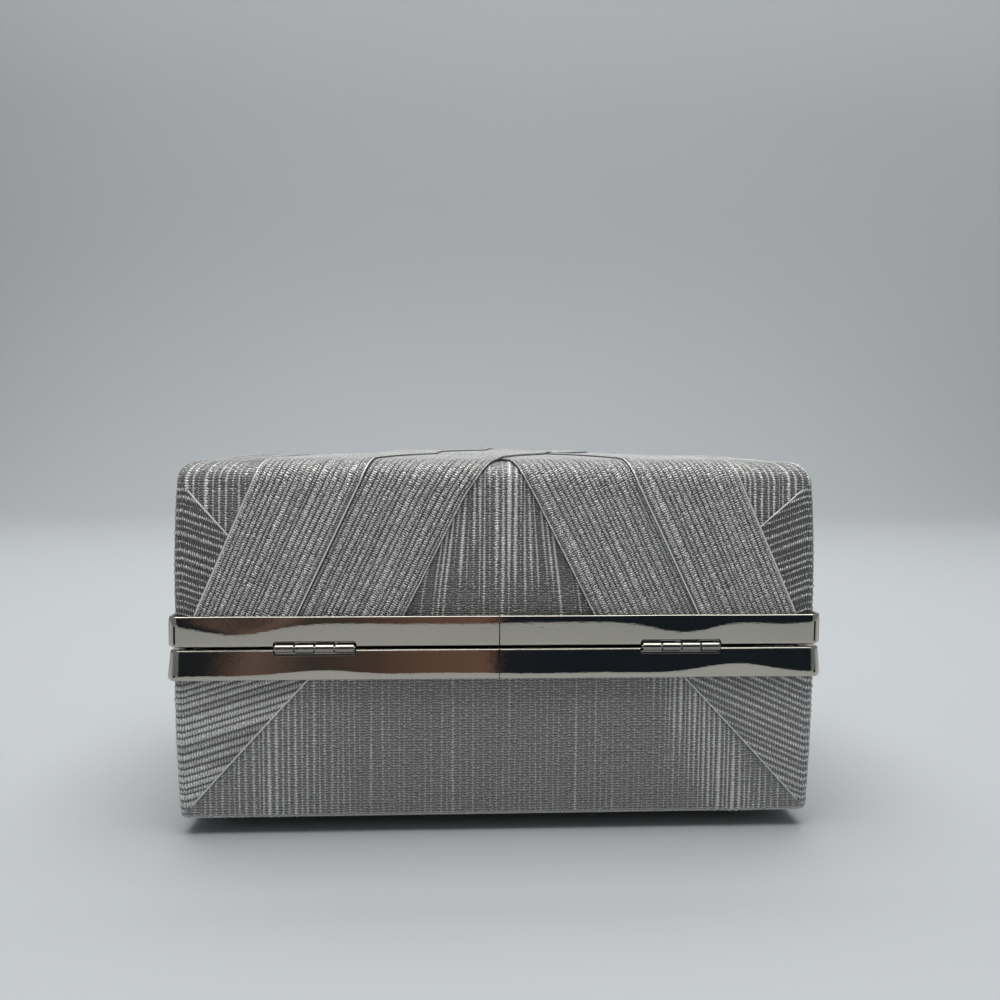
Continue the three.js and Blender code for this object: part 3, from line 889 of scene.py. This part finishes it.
def make_band(cover, place, word, side, material):
    """One pleated band of the lid, with a rolled hem along each edge."""
    band = BANDS[place]
    foot_width = band.outer_foot - band.inner_foot
    lean = (band.inner_lean + band.outer_lean) / 2
    valleys = rib_valleys(0, 1, BAND_RIB_PITCH / foot_width, BAND_UNEVEN)
    hem_columns = HEM_COLUMNS / foot_width
    share, ribs, where = rib_samples(valleys, BAND_SHARES, (*hem_columns, *(1 - hem_columns)))
    run = runs_along(cover, *BAND_ROWS)[:, None]
    rows = len(run)
    inner, outer = band_edges(place, side, run)
    left, right = (inner, outer) if side > 0 else (outer, inner)
    width = np.abs(right - left)
    edge_share = np.minimum(share, 1 - share)
    from_edge = edge_share * width
    from_inner = (share if side > 0 else 1 - share) * width
    wander = at_columns(BAND_WANDER * smooth_noise(valleys.size, rows, BAND_WANDER_REACH), ribs, where)
    x = left + (right - left) * share + wander * np.clip(edge_share / BAND_WANDER_FADE, 0, 1)
    rib, streak = band_ribs(valleys, ribs, where, rows)

    # A painted shadow at the hem's rolled underside, a painted highlight on its roll, and a groove where the
    # ribs stop.
    hem_end = EDGE_SHADOW + HEM_WIDTH
    shadow = smooth_step(EDGE_SHADOW + HEM_SOFT, EDGE_SHADOW - HEM_SOFT, from_edge)
    painted_highlight = smooth_step(hem_end + HEM_SOFT, hem_end - HEM_SOFT, from_edge) * (1 - shadow)
    past_groove = smooth_step(hem_end, hem_end + 2 * HEM_GROOVE, from_edge)
    plain_end = hem_end + HEM_GROOVE + PLAIN_STRIP[(place, side)]
    ribbed = smooth_step(plain_end, plain_end + PLAIN_SOFT, from_inner)
    rib = rib * ribbed * past_groove
    bead = HEM_RAISE * bell(from_edge - EDGE_SHADOW - HEM_WIDTH / 2, HEM_WIDTH / 2)
    cloth = (BAND_THICKNESS + bead) * round_over(from_edge, BAND_EDGE_ROUND) + BAND_RIB * rib
    top = cover.wrap(x, run, band_support(place, side, x, run) + cloth)
    under_x = right + (left - right) * np.linspace(0, 1, BAND_UNDER_COLUMNS)
    under = cover.wrap(under_x, run, band_support(place, side, under_x, run) - BAND_SINK)

    way = cover.way_up(run)
    # Painted highlight on the ribs' crests, stronger on the padded top, with painted highlight streaks.
    on_top = cover.over_edge(way, *TOP_EASE)
    # The hem's painted highlight is weaker on inner edges and fades towards the padded top.
    hem_level = np.where(from_inner < width / 2, HEM_LEVEL[place], HEM_LEVEL["outer"])
    hem_level = hem_level * (1 - HEM_TOP_FADE * cover.over_edge(way, *HEM_TOP_EASE))
    between = (streak * ribbed + PLAIN_SHADE * (1 - ribbed)) * past_groove
    shade = np.clip((BAND_SHINE + TOP_GAIN * on_top) * rib + between, 0, 1 + TOP_SHEEN * on_top)
    shade = shade * (1 - painted_highlight - shadow) + (1 + hem_level) * painted_highlight - shadow
    weave = np.stack(np.broadcast_arrays(share * foot_width, run - side * lean * x, shade), axis=-1)
    weave = np.concatenate((weave, np.zeros((rows, BAND_UNDER_COLUMNS, 3))), axis=1)

    name = f"lid_band_{word}_{place}"
    points = np.concatenate((top, under), axis=1)
    piece = one_sheet(f"{name}_satin", points, weave, smooth_angle=80, wrap=True, caps=True)
    finish_piece(piece, "lid", "pleated_satin", material, name)


# The polished frame

def frame_profile():
    """The channel's section: (distance in from the outer face, height from its flat edge), all round."""
    steps = SECTION_STEPS
    points = []

    def arc(centre_in, centre_up, radius, start, stop, count):
        for angle in np.radians(np.linspace(start, stop, count)):
            points.append((centre_in + radius * math.cos(angle), centre_up + radius * math.sin(angle)))

    lip_up = FRAME_WALL - FRAME_LIP
    inner_lip_up = CHANNEL_INNER_WALL - FRAME_LIP
    inner_edge = CHANNEL_WIDTH - CHANNEL_EDGE
    arc(FRAME_EDGE, FRAME_EDGE, FRAME_EDGE, 270, 180, steps["edge"])
    points += [(0.0, height) for height in np.linspace(FRAME_EDGE, lip_up, steps["face"])[1:-1]]
    arc(FRAME_LIP, lip_up, FRAME_LIP, 180, 0, steps["lip"])
    points += [
        (FRAME_SHEET, FRAME_WALL - FRAME_INNER_ROW),
        (FRAME_SHEET, FRAME_SHEET),
        (CHANNEL_WIDTH - FRAME_SHEET, FRAME_SHEET),
        (CHANNEL_WIDTH - FRAME_SHEET, inner_lip_up),
    ]
    arc(CHANNEL_WIDTH - FRAME_LIP, inner_lip_up, FRAME_LIP, 180, 0, steps["inner_lip"])
    arc(inner_edge, CHANNEL_EDGE, CHANNEL_EDGE, 0, -90, steps["inner_edge"])
    points += [(inward, 0.0) for inward in np.linspace(inner_edge, FRAME_EDGE, steps["flat"])[1:-1]]
    return np.array(points)


FRAME_SECTION = frame_profile()


def near_stations():
    """Places along the near side from the seam to the corner, close together round the hinge's notch."""
    half = HINGE_LENGTH / 2 + NOTCH_MARGIN
    start = HINGE_X - half
    stop = HINGE_X + half
    past = NOTCH_ROUND + NOTCH_PAST
    before = NOTCH_APPROACH + STATION_GAP
    return np.concatenate((
        np.linspace(SEAM_WIDTH / 2, start - before, STATIONS["to_notch"]),
        start + np.linspace(-NOTCH_APPROACH, past, STATIONS["notch_side"]),
        np.linspace(start + past + STATION_GAP, stop - past - STATION_GAP, STATIONS["notch"]),
        stop + np.linspace(-past, NOTCH_APPROACH, STATIONS["notch_side"]),
        np.linspace(stop + before, HALF_LENGTH - FRAME_CORNER, STATIONS["to_corner"]),
    ))


def frame_offset(name, x, height):
    """How far the outer face stands proud at heights from the parting edge: its tilt, summed up."""
    tilt = FACE_TILT[name]
    turn = tilt.turn - sum(dent.depth * bell(x - dent.x, dent.width) for dent in DENTS[name])
    slow = sum(wave.degrees * math.sin(x / wave.length + wave.start) for wave in FACE_WAVES)
    turned = smooth_step(turn, turn + tilt.reach, TILT_STEPS / FRAME_WALL)
    angle = tilt.main + slow + (tilt.edge - tilt.main) * turned
    if name == "lid":
        angle = -angle
    steps = np.tan(np.radians(angle)) * (TILT_STEPS[1] - TILT_STEPS[0])
    proud = np.concatenate(([0.0], np.cumsum(steps[:-1])))
    return np.interp(height, TILT_STEPS, proud - proud.mean())


def notched(inward, height, x):
    """Cuts the hinge's notch out of the parting edge: the section's rolled edge follows its outline."""
    from_side = HINGE_LENGTH / 2 + NOTCH_MARGIN - abs(abs(x) - HINGE_X)
    depth = NOTCH_HEIGHT * round_over(from_side, NOTCH_ROUND)
    squeezed = np.where(height < NOTCH_EASE, depth + height * (NOTCH_EASE - depth) / NOTCH_EASE, height)
    slant = np.minimum(NOTCH_SLANT * np.maximum(inward - FRAME_SHEET, 0), NOTCH_SLANT_MOST)
    notch = np.maximum(squeezed, depth + slant * (depth / NOTCH_HEIGHT))
    return np.where(inward < NOTCH_DEPTH, notch, height)


def frame_ring(cover, kind, value, mirrored=False):
    """The section at one station: a place along a side, or an angle round a corner. Inside a corner's radius
    the section meets in a mitre. The outer face has its own tilt and dents at each place."""
    inward, height = FRAME_SECTION.T
    outer = inward < FRAME_OUTSIDE
    if kind == "near":
        height = notched(inward, height, value)
    x_here = value if kind in ("near", "far") else HALF_LENGTH
    proud = frame_offset(cover.name, -x_here if mirrored else x_here, height)
    if kind == "end":
        proud = proud + FRAME_END_PROUD
    inward = inward - np.where(outer, proud, 0)
    deep = np.maximum(inward, FRAME_CORNER)
    if kind in ("near", "far"):
        x = np.minimum(value, HALF_LENGTH - deep)
        y = HALF_DEPTH - inward
    elif kind == "end":
        x = HALF_LENGTH - inward
        y = np.clip(value, deep - HALF_DEPTH, HALF_DEPTH - deep)
    else:
        reach = np.maximum(FRAME_CORNER - inward, 0)
        x = HALF_LENGTH - deep + reach * math.cos(value)
        y = HALF_DEPTH - deep + reach * math.sin(value)
    if kind in ("near", "near_corner"):
        y = -y
    return cover.place(x, y, FRAME_FACE + height)


def make_frame(cover, material):
    """The frame of one half, with hinge notches on the near side and a butt seam in its middle."""
    turn = np.linspace(0, math.pi / 2, STATIONS["corner"])[1:-1]
    end_half = HALF_DEPTH - FRAME_CORNER
    stretches = {
        "near": near_stations(),
        "near_corner": turn[::-1],
        "end": np.linspace(-end_half, end_half, STATIONS["end"]),
        "far_corner": turn,
        "far": np.linspace(HALF_LENGTH - FRAME_CORNER, 0, STATIONS["far"]),
    }
    stations = [(kind, value) for kind, values in stretches.items() for value in values]
    right = [frame_ring(cover, *station) for station in stations]
    left = [MIRROR_X * frame_ring(cover, *station, mirrored=True) for station in stations[:-1]]
    rings = np.stack(right + left[::-1])
    name = f"{cover.name}_frame"
    piece = one_sheet(f"{name}_nickel", rings, smooth_angle=38, wrap=True, caps=True, flip=cover.sign > 0)
    finish_piece(piece, cover.name, "nickel", material, name)


# Hinges and clasp

def lathe(profile):
    """A closed ring of points turned about the X axis: profile holds (x, radius) all round the section."""
    angles = np.linspace(0, 2 * math.pi, LATHE_STEPS, endpoint=False)[:, None]
    x, radius = np.array(profile).T
    points = np.stack(np.broadcast_arrays(x, radius * np.cos(angles), radius * np.sin(angles)), axis=-1)
    return np.concatenate((points, points[:1]))


def knuckle_profile(start, stop):
    rim = []
    for angle in np.linspace(0, math.pi / 2, BEVEL_STEPS):
        across = KNUCKLE_BEVEL * (1 - math.sin(angle))
        rim.append((across, KNUCKLE_RADIUS - KNUCKLE_BEVEL * (1 - math.cos(angle))))
    near = [(start + across, radius) for across, radius in rim[::-1]]
    far = [(stop - across, radius) for across, radius in rim]
    return [(start, BORE_RADIUS), *near, *far, (stop, BORE_RADIUS)]


def add_leaf_plate(sheets, sign, x0, x1, plate):
    """A plate of a hinge's leaf with its four long edges cut at a slant, as a loft along X."""
    z0, z1 = sorted((PARTING + sign * plate.low, PARTING + sign * plate.high))
    y0 = -HALF_DEPTH + LEAF_BACK
    y1 = y0 + LEAF_THICKNESS
    bevel = plate.bevel
    section = [
        (y0 + bevel, z0), (y1 - bevel, z0), (y1, z0 + bevel), (y1, z1 - bevel),
        (y1 - bevel, z1), (y0 + bevel, z1), (y0, z1 - bevel), (y0, z0 + bevel),
    ]
    rings = np.array([[(x, y, z) for y, z in section] for x in (x0, x1)])
    sheets.add(rings, wrap=True, caps=True)


def make_hinge_leaf(word, side, body, material, sign, first):
    """One leaf of a hinge: every other knuckle with its strap, and the plate behind the frame."""
    sheets = Sheets()
    middle = side * HINGE_X
    half = HINGE_LENGTH / 2
    pitch = HINGE_LENGTH / KNUCKLES
    for knuckle in range(first, KNUCKLES, 2):
        start = -half + knuckle * pitch + KNUCKLE_GAP / 2
        stop = start + pitch - KNUCKLE_GAP
        ring = lathe(knuckle_profile(start, stop)) + np.array([middle, -HALF_DEPTH, PARTING])
        sheets.add(ring, wrap=True, flip=True)
        add_leaf_plate(sheets, sign, middle + start, middle + stop, STRAP)
    add_leaf_plate(sheets, sign, middle - half, middle + half, PLATE)
    name = f"hinge_{word}_{body}_leaf"
    finish_piece(sheets.build(f"{name}_nickel", smooth_angle=38), body, "nickel", material, name)


def make_pin(word, side, material):
    turn = np.radians(np.linspace(0, PIN_DOME_TURN, PIN_DOME_STEPS))
    dome = [(HINGE_LENGTH / 2 + PIN_DOME * math.sin(a), PIN_RADIUS * math.cos(a)) for a in turn]
    profile = [(-x, radius) for x, radius in dome[::-1]] + dome
    rings = lathe(profile)[:-1].transpose(1, 0, 2) + np.array([side * HINGE_X, -HALF_DEPTH, PARTING])
    name = f"hinge_{word}_pin"
    piece = one_sheet(f"{name}_nickel", rings, smooth_angle=50, wrap=True, caps=True)
    finish_piece(piece, "base", "nickel", material, name)


def make_clasp(material):
    """The clasp's plate, a soft cushion of polished metal on the far side."""
    centre = (CLASP_LOW + CLASP_HIGH) / 2
    half_x, thick, half_z = (CLASP_HIGH - CLASP_LOW) / np.array([2, 1, 2])
    turn = np.linspace(0, 2 * math.pi, CLASP_STEPS, endpoint=False)
    power = 2 / CLASP_SQUARENESS
    outline_x = np.sign(np.cos(turn)) * np.abs(np.cos(turn)) ** power * half_x
    outline_z = np.sign(np.sin(turn)) * np.abs(np.sin(turn)) ** power * half_z
    rings = []
    for share, depth in CLASP_LEVELS:
        y = np.full(turn.shape, CLASP_LOW[1] + depth * thick)
        rings.append(np.stack((centre[0] + outline_x * share, y, centre[2] + outline_z * share), axis=-1))
    piece = one_sheet("clasp_nickel", np.stack(rings), smooth_angle=60, wrap=True, caps=True, flip=True)
    finish_piece(piece, "lid", "nickel", material, "clasp")


# Materials

class Nodes:
    """A short way to add and link shader nodes."""

    def __init__(self, name):
        self.material = bpy.data.materials.new(name)
        self.material.use_nodes = True
        self.tree = self.material.node_tree
        self.shader = self.tree.nodes["Principled BSDF"]

    def add(self, kind, **settings):
        node = self.tree.nodes.new(kind)
        for key, value in settings.items():
            setattr(node, key, value)
        return node

    def link(self, source, target):
        self.tree.links.new(source, target)

    def drive(self, name, source):
        self.link(source, self.shader.inputs[name])

    def feed(self, node, values):
        for place, value in enumerate(values):
            if isinstance(value, bpy.types.NodeSocket):
                self.link(value, node.inputs[place])
            else:
                node.inputs[place].default_value = value

    def math(self, operation, *values, clamp=False):
        node = self.add("ShaderNodeMath", operation=operation, use_clamp=clamp)
        self.feed(node, values)
        return node.outputs[0]

    def times(self, *values):
        return self.math("MULTIPLY", *values)

    def plus(self, *values):
        return self.math("ADD", *values)

    def minus(self, *values):
        return self.math("SUBTRACT", *values)

    def remap(self, value, low, high, to_low, to_high):
        node = self.add("ShaderNodeMapRange")
        self.feed(node, (value, low, high, to_low, to_high))
        return node.outputs[0]

    def object_place(self):
        return self.add("ShaderNodeTexCoord").outputs["Object"]

    def split(self, vector):
        node = self.add("ShaderNodeSeparateXYZ")
        self.link(vector, node.inputs[0])
        return node.outputs

    def stretched(self, across, along, stretch):
        node = self.add("ShaderNodeCombineXYZ")
        self.feed(node, (self.times(across, stretch[0]), self.times(along, stretch[1]), 0.0))
        return node.outputs[0]

    def noise(self, vector, scale, detail=2.0, roughness=0.5):
        node = self.add("ShaderNodeTexNoise")
        self.link(vector, node.inputs["Vector"])
        node.inputs["Scale"].default_value = scale
        node.inputs["Detail"].default_value = detail
        node.inputs["Roughness"].default_value = roughness
        return node.outputs["Fac"]

    def ramp(self, value, stops):
        """Colours at places from 0 to 1."""
        node = self.add("ShaderNodeValToRGB")
        self.link(value, node.inputs[0])
        elements = node.color_ramp.elements
        while len(elements) < len(stops):
            elements.new(0.5)
        for element, (place, colour) in zip(elements, stops):
            element.position = place
            element.color = (*colour, 1)
        return node.outputs[0]

    def tones(self, value, low_colour, high_colour):
        return self.ramp(value, [(0.0, low_colour), (1.0, high_colour)])

    def mix(self, factor, first, colour):
        node = self.add("ShaderNodeMix", data_type="RGBA")
        self.link(factor, node.inputs["Factor"])
        self.link(first, node.inputs["A"])
        node.inputs["B"].default_value = (*colour, 1)
        return next(output for output in node.outputs if output.type == "RGBA")

    def bump(self, height, strength, distance, normal=None):
        node = self.add("ShaderNodeBump")
        node.inputs["Strength"].default_value = strength
        node.inputs["Distance"].default_value = distance * MM
        self.link(height, node.inputs["Height"])
        if normal is not None:
            self.link(normal, node.inputs["Normal"])
        return node.outputs[0]

    def set(self, **values):
        for key, value in values.items():
            self.shader.inputs[key.replace("_", " ")].default_value = value


def satin_material(name, look):
    """Silver satin. Its colour paints the light: painted highlight on the ribs' crests and the threads' tops,
    painted shade in the valleys and between threads. Fine threads cross the ribs and make the edges of the
    crests' painted highlights ragged. A mark above 1 is a smooth painted highlight on a folded hem, a streak
    or a rim, and one below 0 a painted shadow beside a hem."""
    n = Nodes(name)
    weave = n.add("ShaderNodeAttribute", attribute_name="weave")
    across, along, mark = n.split(weave.outputs["Vector"])
    crest = n.math("MINIMUM", mark, 1.0, clamp=True)
    # Marks below 0: a painted shadow beside a hem.
    line = n.math("MULTIPLY", mark, -1.0, clamp=True)
    # Marks above 1: a smooth painted highlight on hems, streaks and rims.
    painted_highlight = n.math("SUBTRACT", mark, 1.0, clamp=True)
    clump = n.noise(n.stretched(across, along, CLUMP_STRETCH), CLUMP_SCALE)
    crinkle = n.noise(n.stretched(across, along, GRAIN_STRETCH), scale=1.0, roughness=0.6)
    jitter = n.times(n.plus(clump, n.times(crinkle, CRINKLE_WAVER)), look["waver"])
    turns = n.times(n.plus(along, jitter), 2 * math.pi / look["pitch"])
    thread = n.remap(n.math("SINE", turns), -THREAD_CLIP, THREAD_CLIP, 0.0, 1.0)
    uneven = n.remap(crinkle, *CRINKLE_RANGE, *look["uneven"])
    patchy = n.remap(clump, *CLUMP_RANGE, *look["patchy"])

    weight = n.times(n.remap(crest, 0.0, 1.0, VALLEY_RELIEF, 1.0), uneven)
    weight = n.times(weight, n.minus(1.0, painted_highlight))
    n.drive("Normal", n.bump(n.times(thread, weight), strength=1.0, distance=look["relief"]))

    teeth = n.times(n.plus(thread, n.times(crinkle, CRINKLE_TEETH)), look["teeth"])
    ragged = n.plus(crest, n.minus(teeth, TEETH_MIDDLE * look["teeth"]))
    on_crest = n.remap(ragged, *look["crest"], 0.0, 1.0)
    # Thread tops are painted lighter than the gaps between them: painted highlight and painted shade.
    lit = n.times(n.remap(thread, 0.0, 1.0, look["thread_low"], 1.0), uneven)
    glow = n.times(on_crest, n.times(lit, patchy))
    plain = n.remap(crest, 0.0, GROUND_SHADE, 0.0, look["plain"])
    faint = n.plus(plain, n.times(thread, look["ground_thread"]))
    shine = n.math("ADD", glow, faint, clamp=True)
    # The ramp paints highlight on crests and shade in valleys; painted highlights and shadows are then mixed
    # in.
    colour = n.mix(painted_highlight, n.tones(shine, look["dark"], look["bright"]), look["painted_highlight"])
    n.drive("Base Color", n.mix(line, colour, PAINTED_SHADOW_COLOUR))
    n.drive("Roughness", n.remap(crinkle, *SATIN_ROUGHNESS_RANGE, *SATIN_ROUGHNESS))
    n.set(Metallic=0.5, Sheen_Weight=0.36, Sheen_Roughness=0.35)
    return n.material


def lining_material():
    n = Nodes("lining_board")
    grain = n.noise(n.object_place(), scale=900.0, detail=4.0, roughness=0.6)
    n.drive("Base Color", n.tones(grain, *LINING_TONES))
    n.drive("Normal", n.bump(grain, strength=0.4, distance=0.2))
    n.set(Roughness=0.6, Metallic=0.1)
    return n.material


def nickel_material(name, tones):
    """Bright nickel plate with a faint haze, slow waves from pressing and fine marks from rolling."""
    n = Nodes(name)
    place = n.object_place()
    haze = n.noise(place, scale=60.0, detail=5.0, roughness=0.6)
    wave = n.noise(place, scale=55.0, detail=1.0, roughness=0.4)
    n.drive("Roughness", n.remap(haze, *HAZE_RANGE, *NICKEL_ROUGHNESS))
    n.drive("Base Color", n.tones(haze, *tones))
    rolled = n.add("ShaderNodeMapping")
    n.link(place, rolled.inputs["Vector"])
    rolled.inputs["Scale"].default_value = ROLLED_SCALE
    marks = n.noise(rolled.outputs[0], scale=1.0, detail=3.0, roughness=0.6)
    smooth = n.bump(wave, strength=0.2, distance=0.4)
    n.drive("Normal", n.bump(marks, strength=0.16, distance=0.1, normal=smooth))
    n.set(Metallic=1.0)
    return n.material


def plain_material(name, tones, roughness):
    n = Nodes(name)
    n.drive("Base Color", n.tones(n.noise(n.object_place(), scale=3.0), *tones))
    n.set(Roughness=roughness)
    return n.material


def room_card_material():
    """Colours that change along X."""
    left, right = CARD_TONES[0][0], CARD_TONES[-1][0]
    n = Nodes("room_card")
    share = n.remap(n.split(n.object_place())[0], left * MM, right * MM, 0.0, 1.0)
    stops = [((x - left) / (right - left), colour) for x, colour in CARD_TONES]
    n.drive("Base Color", n.ramp(share, stops))
    n.set(Roughness=0.9)
    return n.material


# Stage, light and camera

def make_sweep():
    """A pale floor that rises in a wide curve behind."""
    profile = [(SWEEP_FRONT, 0.0), (0.0, 0.0)]
    for angle in np.linspace(0, math.pi / 2, SWEEP_STEPS):
        profile.append((SWEEP_BACK + SWEEP_RADIUS * math.sin(angle), SWEEP_RADIUS * (1 - math.cos(angle))))
    profile.append((SWEEP_BACK + SWEEP_RADIUS, SWEEP_HEIGHT))
    sides = (-SWEEP_HALF_WIDTH, SWEEP_HALF_WIDTH)
    sweep = one_sheet("sweep", np.array([[(x, y, z - FLOOR_DROP) for y, z in profile] for x in sides]))
    sweep.data.materials.append(plain_material("pale_paper", PAPER_TONES, roughness=0.7))


def make_card(name, ends, height, material):
    """A card that stands on the floor and only shows in polished metal."""
    card = one_sheet(name, np.array([[(x, y, z) for x, y in ends] for z in (0.0, height)]))
    card.data.materials.append(material)
    card.visible_camera = False
    card.visible_diffuse = False
    card.visible_shadow = False


def make_cards():
    room_ends = [(CARD_TONES[place][0], CARD_Y) for place in (0, -1)]
    make_card("room_card", room_ends, CARD_HEIGHT, room_card_material())
    for name, ends in SIDE_CARDS.items():
        make_card(name, ends, SIDE_CARD_HEIGHT, plain_material(name, DARK_CARD_TONES, roughness=0.9))


def make_light(name, light):
    data = bpy.data.lights.new(name, "AREA")
    data.shape = "RECTANGLE"
    data.size, data.size_y = (value * MM for value in light.size)
    data.energy = light.power
    data.color = LIGHT_COLOUR
    data.spread = math.radians(light.spread)
    made = bpy.data.objects.new(name, data)
    made.location = Vector(light.place) * MM
    aim = (Vector(light.target) - Vector(light.place)).normalized()
    made.rotation_mode = "QUATERNION"
    made.rotation_quaternion = aim.to_track_quat("-Z", "Y")
    bpy.context.scene.collection.objects.link(made)


def make_air():
    world = bpy.data.worlds.new("studio_air")
    world.use_nodes = True
    background = world.node_tree.nodes["Background"]
    background.inputs["Color"].default_value = (*AIR_COLOUR, 1)
    background.inputs["Strength"].default_value = AIR_STRENGTH
    bpy.context.scene.world = world
    bpy.context.scene.view_settings.view_transform = "Standard"


def make_camera():
    data = bpy.data.cameras.new("camera")
    data.sensor_width = SENSOR_MM
    data.lens = SENSOR_MM * FOCAL_PIXELS / IMAGE_SIZE
    data.clip_start, data.clip_end = (value * MM for value in CAMERA_CLIP)
    camera = bpy.data.objects.new("camera", data)
    yaw = Matrix.Rotation(math.radians(CAMERA_YAW), 4, "Z")
    pitch = Matrix.Rotation(math.radians(90 - CAMERA_PITCH), 4, "X")
    roll = Matrix.Rotation(math.radians(-CAMERA_ROLL), 4, "Z")
    camera.matrix_world = Matrix.Translation(Vector(CAMERA_PLACE) * MM) @ yaw @ pitch @ roll
    bpy.context.scene.collection.objects.link(camera)
    bpy.context.scene.camera = camera


# Assembly

LID_SATIN = satin_material("lid_silver_satin", SATIN_LOOKS["lid"])
BASE_SATIN = satin_material("base_silver_satin", SATIN_LOOKS["base"])
BAND_SATIN = satin_material("pleated_silver_satin", SATIN_LOOKS["band"])
NICKEL = nickel_material("bright_nickel", NICKEL_TONES)
# The hinges get the darker copy of the nickel, painted shade.
SHADED_HINGE_NICKEL = nickel_material("hinge_nickel", SHADED_HINGE_TONES)
LINING = lining_material()

for half, satin in ((LID, LID_SATIN), (BASE, BASE_SATIN)):
    make_shell(half, LINING)
    make_cloth(half, satin)
    make_frame(half, NICKEL)
for word, side in (("right", 1), ("left", -1)):
    for place in BANDS:
        make_band(LID, place, word, side, BAND_SATIN)
    make_hinge_leaf(word, side, "lid", SHADED_HINGE_NICKEL, sign=1, first=0)
    make_hinge_leaf(word, side, "base", SHADED_HINGE_NICKEL, sign=-1, first=1)
    make_pin(word, side, SHADED_HINGE_NICKEL)
make_clasp(NICKEL)

make_sweep()
make_cards()
make_air()
for name, light in LIGHTS.items():
    make_light(name, light)
make_camera()
